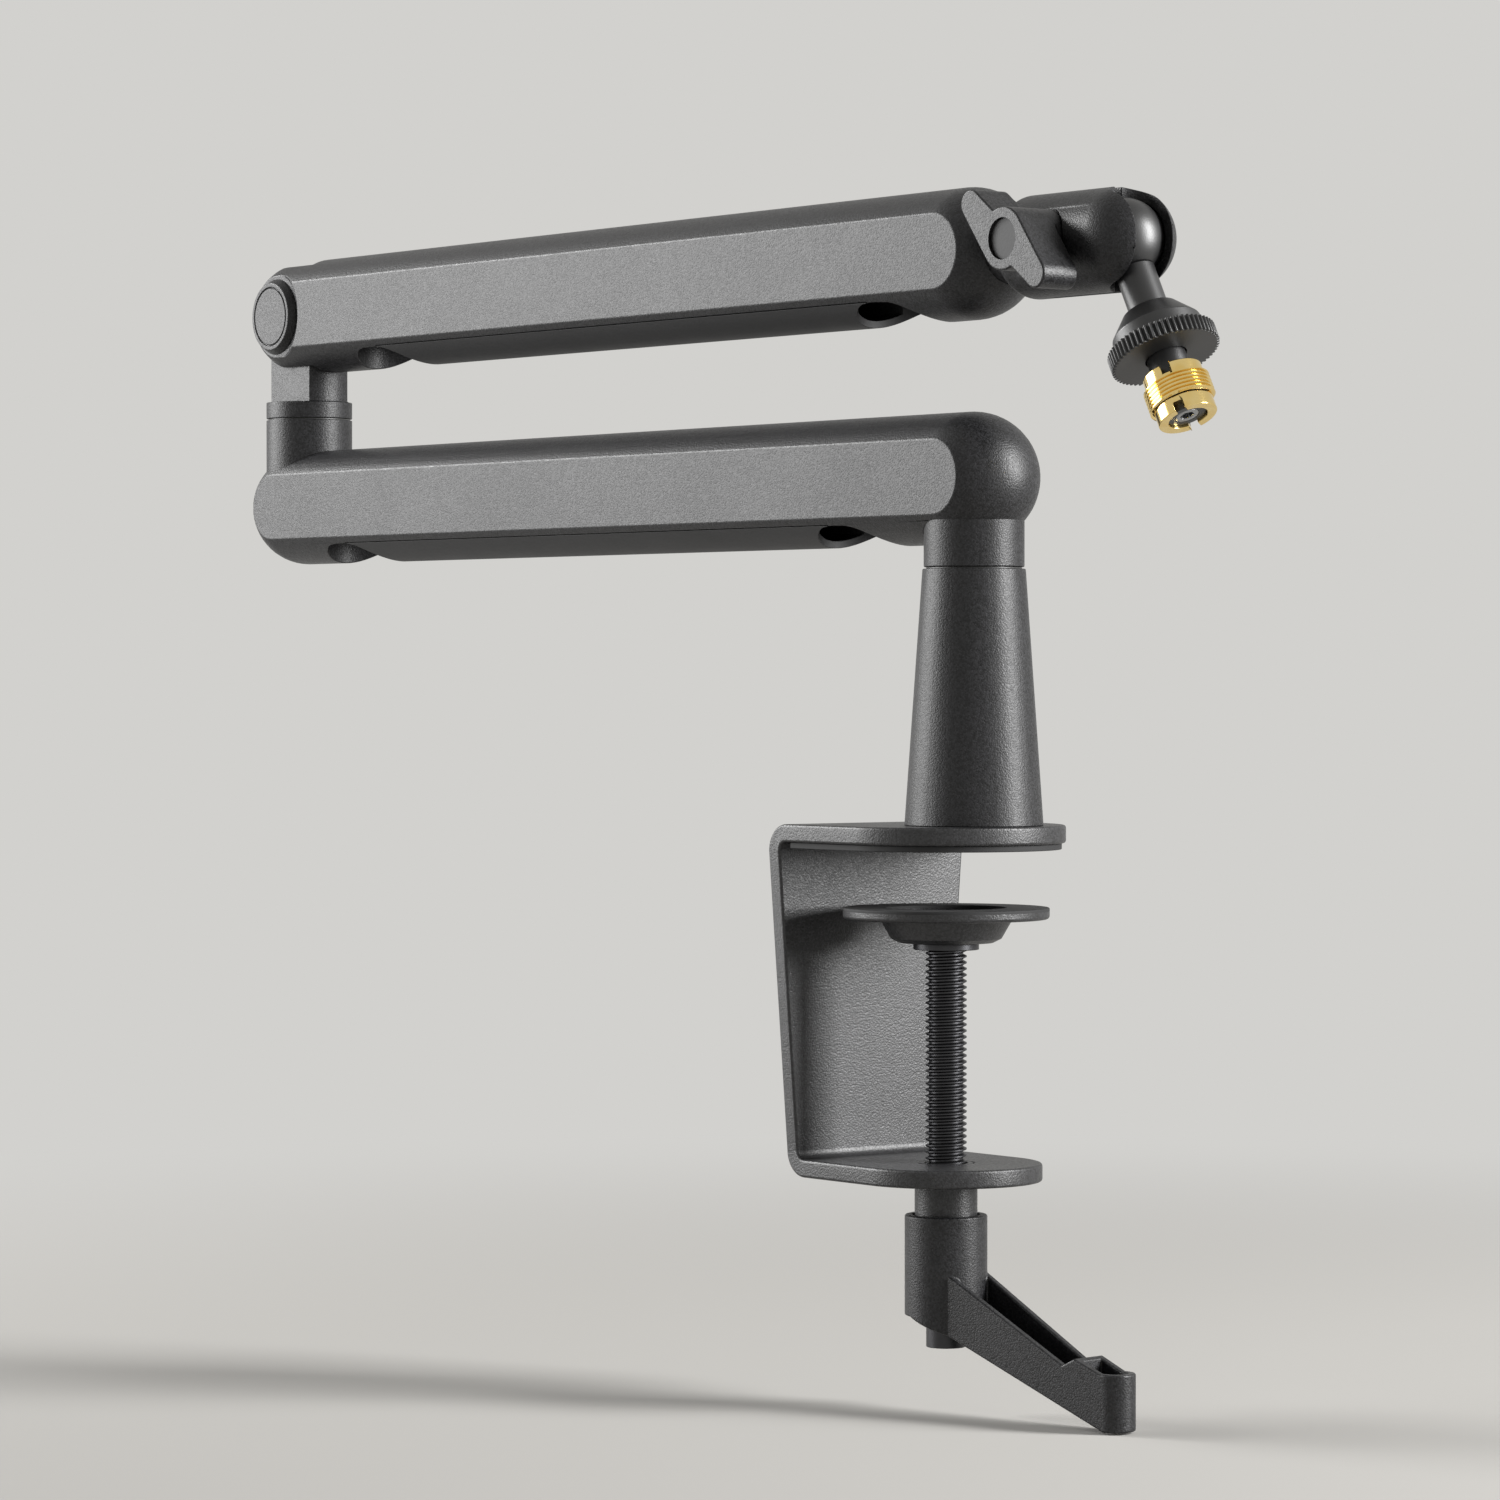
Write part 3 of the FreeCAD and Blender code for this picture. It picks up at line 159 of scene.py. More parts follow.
class BoomArmSizes(bpy.types.PropertyGroup):
    """Sizes that belong to the finished surface and not to the construction."""

    casting_edge: length("Casting edge", "Rounding of the cast arms, posts and head", 0.3)
    plate_edge: length("Plate edge", "Rounding of the bent bracket's cut edges", 0.7)
    rim_edge: length("Pad rim edge", "Rounding under the pressed pad's rim", 0.9)
    dish_bend: length("Pad dish bend", "Rounding of the pressed pad's dish", 1.8)
    rubber_edge: length("Rubber edge", "Rounding of the pad's rubber ring", 0.35)
    cover_edge: length("Cover edge", "Rounding of the cable covers", 0.15)
    fine_edge: length("Fine edge", "Rounding of turned and moulded small pieces", 0.22)
    screw_pitch: length("Screw pitch", "Pitch of the clamp screw", 1.5)
    screw_depth: length("Screw thread depth", "Depth of the clamp screw's thread", 0.85)
    adapter_pitch: length("Adapter pitch", "Pitch of the microphone thread", 0.94)
    adapter_depth: length("Adapter thread depth", "Depth of the microphone thread", 0.55)
    adapter_slot: length("Adapter slot", "Width and depth of the adapter's driver slots", 2.2)
    adapter_turn: angle("Adapter slot turn", "Turn of the driver slots about the stem", 35.0)
    thread_steps: IntProperty(name="Thread steps", description="Facets in one turn of a thread",
                              default=72, min=24)


class BoomArmColours(bpy.types.PropertyGroup):
    """Colours of the finishes."""

    coat: colour("Powder coat", "Black coat of the castings", "#060607")
    coat_fleck: colour("Powder coat fleck", "Lighter flecks in the coat", "#2c2c2e")
    steel: colour("Blackened steel", "Screws, bolts and pins", "#48484a")
    anodised: colour("Black anodising", "Ball, stem and thumb nut", "#161617")
    zinc: colour("Zinc plate", "Cap screw in the stem's end", "#a9aaac")
    cover: colour("Cover plastic", "Cable covers and knob cap", "#161617")
    bearing: colour("Bearing plastic", "Sleeves and washers", "#3b3b3a")
    rubber: colour("Rubber", "Jaw liner and pad ring", "#101011")
    brass: colour("Brass", "Microphone thread adapter", "#f8e4a8")
    brass_shade: colour("Brass shade", "Deeper tone in the brass", "#e6bf62")
    floor: colour("Floor", "Studio floor", "#b6b4b0")
    backdrop: colour("Backdrop", "What shows behind the floor", "#d2d1ce")


class BoomArmStage(bpy.types.PropertyGroup):
    """Camera, floor and lamps."""

    azimuth: angle("Azimuth", "Camera's turn from straight in front of the knob side", 52.8)
    pitch: angle("Pitch", "How far the camera looks down", 0.79)
    distance: length("Distance", "Camera to the riser, along the line of sight", 1295.8)
    aside: length("Aside", "Riser's place to the right of the line of sight", 53.75)
    height: length("Height", "Camera's height above the desk", 41.9)
    focal: lens_size("Focal length", "Focal length of the lens", 129.6)
    sensor: lens_size("Sensor", "Width of the sensor", 36.0)
    floor_radius: length("Floor radius", "Reach of the floor", 9000.0)
    shadow_near: length("Shadow near", "Where the floor starts to fade into the backdrop", 250.0)
    shadow_far: length("Shadow far", "Where the floor is all backdrop", 800.0)
    key_power: watts("Key power", "Large soft lamp on the left", 22.0)
    rim_power: watts("Rim power", "Tall soft lamp on the right", 50.0)
    edge_power: watts("Edge power", "Small soft lamp high on the left", 14.0)
    fill: FloatProperty(name="Fill", description="Strength of the even light from all round",
                        default=0.1, min=0.0)


# Materials


def add(tree, kind, links=None, **settings):
    """Add a node, set its properties and give each named input a value or a link."""
    made = tree.nodes.new(kind)
    for name, value in settings.items():
        setattr(made, name, value)
    for name, value in (links or {}).items():
        if isinstance(value, bpy.types.NodeSocket):
            tree.links.new(value, made.inputs[name])
        else:
            made.inputs[name].default_value = value
    return made


def blank_material(name):
    """A new material, its emptied tree and the coordinates of the piece that has it."""
    material = bpy.data.materials.new(name)
    material.use_nodes = True
    tree = material.node_tree
    tree.nodes.clear()
    return material, tree, add(tree, "ShaderNodeTexCoord").outputs["Object"]


def per_metre(millimetres):
    """Pattern scale that gives features of a real size."""
    return 1.0 / (millimetres * MM)


def rgba(shade, gain=1.0):
    """What a colour socket takes for a linear colour, made lighter or darker by a gain."""
    return (*(min(1.0, share * gain) for share in shade), 1.0)


def powder_coat(name, colours, pebble, flow, ior):
    """Baked black powder coat, dull and finely pebbled, on a metal that it hides.

    The pebbles break a soft lamp's reflection into hard grey speckle. Real ones are 0.1 to 0.2 mm
    wide, and they are drawn two to four times coarser so that they show.
    """
    material, tree, spot = blank_material(name)
    grain = add(tree, "ShaderNodeTexVoronoi", {"Vector": spot, "Scale": per_metre(pebble)})
    chance = add(tree, "ShaderNodeSeparateColor", {"Color": grain.outputs["Color"]})
    tone = add(tree, "ShaderNodeMix", {
        "Factor": chance.outputs["Red"],
        TONE_A: rgba(colours.coat), TONE_B: rgba(colours.coat_fleck),
    }, data_type="RGBA")
    cloud = add(tree, "ShaderNodeTexNoise", {
        "Vector": spot, "Scale": per_metre(flow), "Detail": 2.0,
    })
    sheen = add(tree, "ShaderNodeMapRange", {
        "Value": cloud.outputs["Fac"], "To Min": 0.35, "To Max": 0.41,
    })
    dull = add(tree, "ShaderNodeMath", {
        0: chance.outputs["Green"], 1: 0.1, 2: sheen.outputs["Result"],
    }, operation="MULTIPLY_ADD")
    bump = add(tree, "ShaderNodeBump", {
        "Height": grain.outputs["Distance"], "Strength": 1.0, "Distance": 0.05 * MM,
    }, invert=True)
    surface = add(tree, "ShaderNodeBsdfPrincipled", {
        "Base Color": tone.outputs[TONE_OUT], "Roughness": dull.outputs["Value"],
        "Normal": bump.outputs["Normal"], "Metallic": 0.0, "IOR": ior,
    })
    add(tree, "ShaderNodeOutputMaterial", {"Surface": surface.outputs["BSDF"]})
    return material


def powder_coated_aluminium(colours):
    """Die-cast aluminium under the coat: a fine, even pebble."""
    return powder_coat("powder_coated_aluminium", colours, pebble=0.42, flow=22.0, ior=1.42)


def powder_coated_steel(colours):
    """Bent steel plate, coated thicker: a slightly wider pebble and more gloss."""
    return powder_coat("powder_coated_steel", colours, pebble=0.45, flow=18.0, ior=1.54)


def skinned_metal(name, shade, dullness, grain, mottle):
    """Metal under a thin skin of oxide or plating, which keeps a metal's tight bright bands.

    The grain of such a skin is finer than 0.1 mm, and it is drawn coarser so that it shows.
    """
    material, tree, spot = blank_material(name)
    fine = add(tree, "ShaderNodeTexNoise", {
        "Vector": spot, "Scale": per_metre(grain), "Detail": 2.0,
    })
    cloud = add(tree, "ShaderNodeTexNoise", {
        "Vector": spot, "Scale": per_metre(mottle), "Detail": 3.0,
    })
    tone = add(tree, "ShaderNodeMix", {
        "Factor": cloud.outputs["Fac"], TONE_A: rgba(shade, 0.7), TONE_B: rgba(shade),
    }, data_type="RGBA")
    sheen = add(tree, "ShaderNodeMapRange", {
        "Value": cloud.outputs["Fac"], "To Min": dullness - 0.05, "To Max": dullness + 0.05,
    })
    bump = add(tree, "ShaderNodeBump", {
        "Height": fine.outputs["Fac"], "Strength": 0.15, "Distance": 0.03 * MM,
    })
    surface = add(tree, "ShaderNodeBsdfPrincipled", {
        "Base Color": tone.outputs[TONE_OUT], "Roughness": sheen.outputs["Result"],
        "Normal": bump.outputs["Normal"], "Metallic": 1.0,
    })
    add(tree, "ShaderNodeOutputMaterial", {"Surface": surface.outputs["BSDF"]})
    return material


def black_oxide_steel(colours):
    """Machined steel with a black oxide skin, faintly oiled: near black with a soft glint."""
    return skinned_metal("black_oxide_steel", colours.steel, dullness=0.4, grain=0.4, mottle=3.0)


def zinc_plated_steel(colours):
    """Plated cap screw: plain silver grey, the only bright steel that shows."""
    return skinned_metal("zinc_plated_steel", colours.zinc, dullness=0.3, grain=0.3, mottle=2.0)


def anodised_aluminium(colours):
    """Turned, bead-blasted aluminium under a black-dyed oxide.

    The oxide is a hard, glassy skin: satin black with a bright band. The beads leave dimples about
    0.1 mm wide, and they are drawn at 0.35 mm so that they show. Their bottoms are painted darker
    than their rims, as painted shade.
    """
    material, tree, spot = blank_material("anodised_aluminium")
    blast = add(tree, "ShaderNodeTexVoronoi", {"Vector": spot, "Scale": per_metre(0.35)})
    # Painted shade: each dimple is 0.6 times the anodised colour at its bottom and full colour at its rim
    tone = add(tree, "ShaderNodeMix", {
        "Factor": blast.outputs["Distance"],
        TONE_A: rgba(colours.anodised, 0.6), TONE_B: rgba(colours.anodised),
    }, data_type="RGBA")
    cloud = add(tree, "ShaderNodeTexNoise", {
        "Vector": spot, "Scale": per_metre(9.0), "Detail": 2.0,
    })
    sheen = add(tree, "ShaderNodeMapRange", {
        "Value": cloud.outputs["Fac"], "To Min": 0.38, "To Max": 0.45,
    })
    bump = add(tree, "ShaderNodeBump", {
        "Height": blast.outputs["Distance"], "Strength": 0.3, "Distance": 0.03 * MM,
    })
    surface = add(tree, "ShaderNodeBsdfPrincipled", {
        "Base Color": tone.outputs[TONE_OUT], "Roughness": sheen.outputs["Result"],
        "Normal": bump.outputs["Normal"], "Metallic": 0.0, "IOR": 1.65,
    })
    add(tree, "ShaderNodeOutputMaterial", {"Surface": surface.outputs["BSDF"]})
    return material


def moulded_abs(colours):
    """Injection-moulded ABS with a spark-eroded texture: even, dry black.

    The sparks leave pits about 0.1 mm wide, and they are drawn at 0.6 mm so that they show. Their
    bottoms are painted darker than their rims, as painted shade.
    """
    material, tree, spot = blank_material("moulded_abs")
    spark = add(tree, "ShaderNodeTexVoronoi", {"Vector": spot, "Scale": per_metre(0.6)})
    # Painted shade: each pit is the plain cover colour at its bottom and up to 2.2 times lighter at its rim
    tone = add(tree, "ShaderNodeMix", {
        "Factor": spark.outputs["Distance"],
        TONE_A: rgba(colours.cover), TONE_B: rgba(colours.cover, 2.2),
    }, data_type="RGBA")
    cloud = add(tree, "ShaderNodeTexNoise", {
        "Vector": spot, "Scale": per_metre(14.0), "Detail": 2.0,
    })
    sheen = add(tree, "ShaderNodeMapRange", {
        "Value": cloud.outputs["Fac"], "To Min": 0.58, "To Max": 0.68,
    })
    bump = add(tree, "ShaderNodeBump", {
        "Height": spark.outputs["Distance"], "Strength": 0.25, "Distance": 0.05 * MM,
    })
    surface = add(tree, "ShaderNodeBsdfPrincipled", {
        "Base Color": tone.outputs[TONE_OUT], "Roughness": sheen.outputs["Result"],
        "Normal": bump.outputs["Normal"], "Metallic": 0.0, "IOR": 1.53,
    })
    add(tree, "ShaderNodeOutputMaterial", {"Surface": surface.outputs["BSDF"]})
    return material


def acetal(colours):
    """Plain moulded acetal of sleeves and washers: waxy dark grey, faintly mottled."""
    material, tree, spot = blank_material("acetal")
    mottle = add(tree, "ShaderNodeTexNoise", {
        "Vector": spot, "Scale": per_metre(2.0), "Detail": 2.0,
    })
    tone = add(tree, "ShaderNodeMix", {
        "Factor": mottle.outputs["Fac"],
        TONE_A: rgba(colours.bearing, 0.8), TONE_B: rgba(colours.bearing),
    }, data_type="RGBA")
    surface = add(tree, "ShaderNodeBsdfPrincipled", {
        "Base Color": tone.outputs[TONE_OUT], "Roughness": 0.42, "Metallic": 0.0, "IOR": 1.48,
    })
    add(tree, "ShaderNodeOutputMaterial", {"Surface": surface.outputs["BSDF"]})
    return material


def nitrile_rubber(colours):
    """Moulded nitrile rubber: the dullest black on the arm, with a matt, slightly pitted face."""
    material, tree, spot = blank_material("nitrile_rubber")
    pits = add(tree, "ShaderNodeTexNoise", {
        "Vector": spot, "Scale": per_metre(0.8), "Detail": 4.0, "Roughness": 0.7,
    })
    # Painted shade: the pits are painted darker and the raised spots up to twice as light, from the noise that
    # shapes the bump
    tone = add(tree, "ShaderNodeMix", {
        "Factor": pits.outputs["Fac"],
        TONE_A: rgba(colours.rubber), TONE_B: rgba(colours.rubber, 2.0),
    }, data_type="RGBA")
    bump = add(tree, "ShaderNodeBump", {
        "Height": pits.outputs["Fac"], "Strength": 0.3, "Distance": 0.08 * MM,
    })
    surface = add(tree, "ShaderNodeBsdfPrincipled", {
        "Base Color": tone.outputs[TONE_OUT], "Roughness": 0.74,
        "Normal": bump.outputs["Normal"], "Metallic": 0.0, "IOR": 1.5,
    })
    add(tree, "ShaderNodeOutputMaterial", {"Surface": surface.outputs["BSDF"]})
    return material


def turned_brass(colours):
    """Free-cutting brass, turned and polished: pale gold, white where the lamps catch it.

    Tool marks ring the stem. Real ones are about 0.05 mm apart, and they are drawn at 0.4 mm so
    that they show.
    """
    material, tree, spot = blank_material("turned_brass")
    stem = Vector(JOINTS["stem_spin"]["axis"])
    turn = Matrix.Rotation(-math.atan2(stem.x, stem.z), 3, "Y").to_euler()
    laid = add(tree, "ShaderNodeMapping", {"Vector": spot, "Rotation": turn})
    marks = add(tree, "ShaderNodeTexWave", {
        "Vector": laid.outputs["Vector"], "Scale": per_metre(0.4) * BAND_REPEAT,
        "Distortion": 1.5, "Detail": 2.0,
    }, wave_type="BANDS", bands_direction="Z")
    cloud = add(tree, "ShaderNodeTexNoise", {
        "Vector": spot, "Scale": per_metre(4.0), "Detail": 2.0,
    })
    tone = add(tree, "ShaderNodeMix", {
        "Factor": cloud.outputs["Fac"],
        TONE_A: rgba(colours.brass_shade), TONE_B: rgba(colours.brass),
    }, data_type="RGBA")
    sheen = add(tree, "ShaderNodeMapRange", {
        "Value": marks.outputs["Fac"], "To Min": 0.08, "To Max": 0.14,
    })
    bump = add(tree, "ShaderNodeBump", {
        "Height": marks.outputs["Fac"], "Strength": 0.06, "Distance": 0.02 * MM,
    })
    surface = add(tree, "ShaderNodeBsdfPrincipled", {
        "Base Color": tone.outputs[TONE_OUT], "Roughness": sheen.outputs["Result"],
        "Normal": bump.outputs["Normal"], "Metallic": 1.0,
    })
    add(tree, "ShaderNodeOutputMaterial", {"Surface": surface.outputs["BSDF"]})
    return material


MAKERS = {
    "coat": powder_coated_aluminium,
    "plate": powder_coated_steel,
    "steel": black_oxide_steel,
    "anodised": anodised_aluminium,
    "zinc": zinc_plated_steel,
    "cover": moulded_abs,
    "bearing": acetal,
    "rubber": nitrile_rubber,
    "brass": turned_brass,
}
# The made materials, by the same names
FINISHES = {}

# Which finish each construction node has
FINISH_OF = {
    "coat": [
        "riser_post", "lower_arm", "lower_collar", "elbow_post", "elbow_knuckle", "upper_arm",
        "head_neck", "head_housing", "wing_knob", "hinge_cap_near", "hinge_cap_far", "lever_handle",
    ],
    "plate": ["clamp_bracket", "screw_bush", "pressure_pad"],
    "steel": [
        "riser_bolt", "swivel_pin", "elbow_pin", "hinge_bolt", "clamp_stud", "clamp_screw",
        "lever_bolt", "pad_collar", "pad_retainer",
    ],
    "anodised": ["head_ball", "ball_stem", "thumb_nut"],
    "zinc": ["stem_end_screw"],
    "cover": ["lower_cable_cover", "upper_cable_cover", "knob_cap"],
    "bearing": ["swivel_bush", "swivel_washer", "elbow_bush", "elbow_washer", "hinge_washers"],
    "rubber": ["jaw_liner", "pad_rubber"],
    "brass": ["thread_adapter"],
}
FINISH_BY_NODE = {node: finish for finish, nodes in FINISH_OF.items() for node in nodes}


# Ways of working


def start_clear():
    """Leave object mode with nothing selected, ready for a new primitive."""
    if bpy.context.object and bpy.context.object.mode != "OBJECT":
        bpy.ops.object.mode_set(mode="OBJECT")
    bpy.ops.object.select_all(action="DESELECT")


def activate(thing):
    """Make one object the only selected one, in object mode."""
    start_clear()
    thing.select_set(True)
    bpy.context.view_layer.objects.active = thing


def edit_all(thing):
    """Open one object in edit mode with all of it selected."""
    activate(thing)
    bpy.ops.object.mode_set(mode="EDIT")
    bpy.ops.mesh.select_all(action="SELECT")


def apply_modifier(thing, kind, **settings):
    """Add a modifier with its settings and apply it."""
    activate(thing)
    bpy.ops.object.modifier_add(type=kind)
    modifier = thing.modifiers[-1]
    for name, value in settings.items():
        setattr(modifier, name, value)
    bpy.ops.object.modifier_apply(modifier=modifier.name)


def smooth(thing):
    """Shade bends smooth and keep flat faces flat up to their rounded edges."""
    activate(thing)
    bpy.ops.object.shade_smooth_by_angle(angle=BEND_ANGLE)
    apply_modifier(thing, "WEIGHTED_NORMAL", mode="FACE_AREA", weight=100, keep_sharp=True)


def round_edges(thing, radius, sharp=30.0):
    """Round every edge that turns by more than an angle in degrees, and shade the rest smooth."""
    apply_modifier(thing, "BEVEL", width=radius, segments=EDGE_STEPS, limit_method="ANGLE",
                   angle_limit=math.radians(sharp), use_clamp_overlap=False)
    smooth(thing)


def ease_rings(piece, place, radius, chosen):
    """Round only those edges whose both ends have a chosen radius and height about an axis."""
    back = place.inverted()
    activate(piece)
    bpy.ops.object.mode_set(mode="EDIT")
    bpy.ops.mesh.select_mode(type="EDGE")
    bpy.ops.mesh.select_all(action="DESELECT")
    bpy.ops.object.mode_set(mode="OBJECT")
    spots = [back @ vertex.co for vertex in piece.data.vertices]
    picked = [chosen(math.hypot(spot.x, spot.y), spot.z) for spot in spots]
    for edge in piece.data.edges:
        edge.select = all(picked[corner] for corner in edge.vertices)
    bpy.ops.object.mode_set(mode="EDIT")
    bpy.ops.mesh.bevel(offset=radius, segments=BEND_STEPS, affect="EDGES", clamp_overlap=True)
    bpy.ops.object.mode_set(mode="OBJECT")


def hand_over(piece, node):
    """Let a finished piece stand for a construction node, with its body and finish."""
    piece.data.materials.clear()
    piece.data.materials.append(FINISHES[FINISH_BY_NODE[node]])
    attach(piece, BODY_OF[node])
    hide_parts(node)


def welded_copy(node, name):
    """A copy of a node's mesh with its loose triangles welded and its flat faces made whole."""
    piece = bpy.data.objects.new(name, frame["nodes"][node].data.copy())
    bpy.context.scene.collection.objects.link(piece)
    edit_all(piece)
    bpy.ops.mesh.customdata_custom_splitnormals_clear()
    bpy.ops.mesh.remove_doubles(threshold=WELD)
    bpy.ops.mesh.dissolve_limited(angle_limit=FLAT_ANGLE)
    bpy.ops.object.mode_set(mode="OBJECT")
    return piece


def lay_down(piece, place):
    """Put a piece made about its own Z in its place, and keep that place in its mesh."""
    activate(piece)
    piece.matrix_world = place @ piece.matrix_world
    bpy.ops.object.transform_apply(location=True, rotation=True, scale=True)


def joint_place(name):
    """Own frame of a joint: its place, with Z along its axis and Y kept level."""
    joint = JOINTS[name]
    axis = Vector(joint["axis"])
    turn = Matrix.Rotation(math.atan2(axis.x, axis.z), 4, "Y")
    return Matrix.Translation(joint["pos_m"]) @ turn


def local_points(node, place):
    """A node's points about an axis: radius from it and height along it."""
    back = place.inverted()
    points = [back @ vertex.co for vertex in frame["nodes"][node].data.vertices]
    return [(math.hypot(point.x, point.y), point.z) for point in points]


def ends(points):
    """Lowest and highest height among such points."""
    heights = [height for radius, height in points]
    return min(heights), max(heights)


def reach_at(points, spot):
    """Largest radius among the points at one height."""
    return max(radius for radius, height in points if abs(height - spot) < WELD)


def flank(pitch):
    """Height of a thread's flank, from its flat root to its flat crest."""
    return pitch * (1 - ROOT_SHARE - CREST_SHARE) / 2


def thread_span(points, pitch):
    """Crest radius of a threaded node, and where its first flank starts and its last one ends."""
    crest = max(radius for radius, height in points)
    low, high = ends([point for point in points if point[0] > crest - CREST_BAND])
    return crest, low - flank(pitch), high + flank(pitch)


def helical_thread(name, crest, depth, pitch, low, high, steps):
    """A true helix: one pitch of the section, screwed upwards and cut square at both ends."""
    root = crest - depth
    foot = pitch * ROOT_SHARE
    section = [(root, 0.0), (root, foot), (crest, foot + flank(pitch)),
               (crest, pitch - flank(pitch)), (root, pitch)]
    start_clear()
    bpy.ops.mesh.primitive_circle_add(vertices=len(section), radius=pitch, fill_type="NOTHING")
    piece = bpy.context.object
    piece.name = name
    bpy.ops.object.mode_set(mode="EDIT")
    bpy.ops.mesh.delete(type="EDGE_FACE")
    bpy.ops.object.mode_set(mode="OBJECT")
    for vertex, (radius, height) in zip(piece.data.vertices, section):
        vertex.co = (radius, 0.0, low - pitch + height)
    for first in range(len(section) - 1):
        bpy.ops.object.mode_set(mode="EDIT")
        bpy.ops.mesh.select_mode(type="VERT")
        bpy.ops.mesh.select_all(action="DESELECT")
        bpy.ops.object.mode_set(mode="OBJECT")
        piece.data.vertices[first].select = True
        piece.data.vertices[first + 1].select = True
        bpy.ops.object.mode_set(mode="EDIT")
        bpy.ops.mesh.edge_face_add()
    bpy.ops.object.mode_set(mode="OBJECT")
    # One turn more at either end, which the cuts take off
    turns = math.ceil((high - low) / pitch) + 2
    apply_modifier(piece, "SCREW", axis="Z", angle=2 * math.pi, screw_offset=pitch,
                   iterations=turns, steps=steps, render_steps=steps)
    for spot, inner, outer in ((low, True, False), (high, False, True)):
        edit_all(piece)
        bpy.ops.mesh.remove_doubles(threshold=WELD)
        bpy.ops.mesh.select_all(action="SELECT")
        bpy.ops.mesh.bisect(plane_co=(0, 0, spot), plane_no=(0, 0, 1), use_fill=True,
                            clear_inner=inner, clear_outer=outer)
    bpy.ops.mesh.select_all(action="SELECT")
    bpy.ops.mesh.normals_make_consistent(inside=False)
    bpy.ops.object.mode_set(mode="OBJECT")
    bpy.ops.object.shade_smooth_by_angle(angle=FLANK_ANGLE)
    return piece


def turned_ring(name, section):
    """A closed section of (radius, height) corners spun once about Z."""
    start_clear()
    bpy.ops.mesh.primitive_circle_add(vertices=len(section), radius=MM, fill_type="NOTHING")
    piece = bpy.context.object
    piece.name = name
    for vertex, (radius, height) in zip(piece.data.vertices, section):
        vertex.co = (radius, 0.0, height)
    edit_all(piece)
    bpy.ops.mesh.spin(steps=RING_FACETS, angle=2 * math.pi, center=(0, 0, 0), axis=(0, 0, 1))
    bpy.ops.mesh.select_all(action="SELECT")
    bpy.ops.mesh.remove_doubles(threshold=WELD)
    bpy.ops.mesh.normals_make_consistent(inside=False)
    bpy.ops.object.mode_set(mode="OBJECT")
    return piece


def cut_slot(piece, size, height, turn):
    """Cut a straight slot across Z with a block of a given size, turned about Z."""
    start_clear()
    bpy.ops.mesh.primitive_cube_add(size=1.0, location=(0, 0, height), rotation=(0, 0, -turn),
                                    scale=size)
    block = bpy.context.object
    bpy.ops.object.transform_apply(location=True, rotation=True, scale=True)
    apply_modifier(piece, "BOOLEAN", operation="DIFFERENCE", solver="EXACT", object=block)
    bpy.data.objects.remove(block)


def join(first, others):
    """Make several objects one, under the name of the first."""
    activate(first)
    for other in others:
        other.select_set(True)
    bpy.ops.object.join()


# Operators


class BOOMARM_OT_finish_solids(bpy.types.Operator):
    """Make the finishes and give every construction node the one it has"""

    bl_idname = "boom_arm.finish_solids"
    bl_label = "Finish Solids"

    def execute(self, context):
        colours = context.scene.boom_arm_colours
        for name, maker in MAKERS.items():
            FINISHES[name] = maker(colours)
        for node, thing in frame["nodes"].items():
            thing.data.materials.clear()
            thing.data.materials.append(FINISHES[FINISH_BY_NODE[node]])
        return {"FINISHED"}


class BOOMARM_OT_castings(bpy.types.Operator):
    """Round the cast edges of the arms, riser, collar, elbow post and head"""

    bl_idname = "boom_arm.castings"
    bl_label = "Castings"

    # Edges that turn by more than this many degrees are rounded
    sharp_from = {
        "lower_arm": 22.0,
        "upper_arm": 22.0,
        "riser_post": 30.0,
        "lower_collar": 30.0,
        "elbow_post": 30.0,
        "head_housing": 40.0,
    }

    def execute(self, context):
        for node, sharp in self.sharp_from.items():
            piece = welded_copy(node, f"{node}_casting")
            round_edges(piece, context.scene.boom_arm_sizes.casting_edge, sharp)
            hand_over(piece, node)
        return {"FINISHED"}


class BOOMARM_OT_clamp_bracket(bpy.types.Operator):
    """Round the bent bracket's cut edges"""

    bl_idname = "boom_arm.clamp_bracket"
    bl_label = "Clamp Bracket"

    def execute(self, context):
        piece = welded_copy("clamp_bracket", "clamp_bracket_bent_plate")
        round_edges(piece, context.scene.boom_arm_sizes.plate_edge, sharp=20.0)
        hand_over(piece, "clamp_bracket")
        return {"FINISHED"}


class BOOMARM_OT_pressure_pad(bpy.types.Operator):
    """Press the pad's dish with soft bends and round the top edges of the rubber ring on its rim"""

    bl_idname = "boom_arm.pressure_pad"
    bl_label = "Pressure Pad"

    def execute(self, context):
        sizes = context.scene.boom_arm_sizes
        axis = Vector(JOINTS["screw_turn"]["pos_m"])
        place = Matrix.Translation((axis.x, axis.y, 0.0))
        points = local_points("pressure_pad", place)
        rim_r = max(radius for radius, height in points)
        rim_low, _ = ends([point for point in points if point[0] > rim_r - WELD])
        _, pad_top = ends(points)
        pad = welded_copy("pressure_pad", "pressure_pad_pressed")
        ease_rings(pad, place, sizes.rim_edge,
                   lambda radius, height: radius > rim_r - WELD and height < pad_top - WELD)
        ease_rings(pad, place, sizes.dish_bend,
                   lambda radius, height: (rim_r * DISH_INNER < radius < rim_r * DISH_OUTER
                                           and height < rim_low + WELD))
        smooth(pad)
        hand_over(pad, "pressure_pad")
        rubber = welded_copy("pad_rubber", "pad_rubber_ring")
        _, rubber_top = ends(local_points("pad_rubber", place))
        ease_rings(rubber, place, sizes.rubber_edge,
                   lambda radius, height: height > rubber_top - WELD)
        smooth(rubber)
        hand_over(rubber, "pad_rubber")
        return {"FINISHED"}


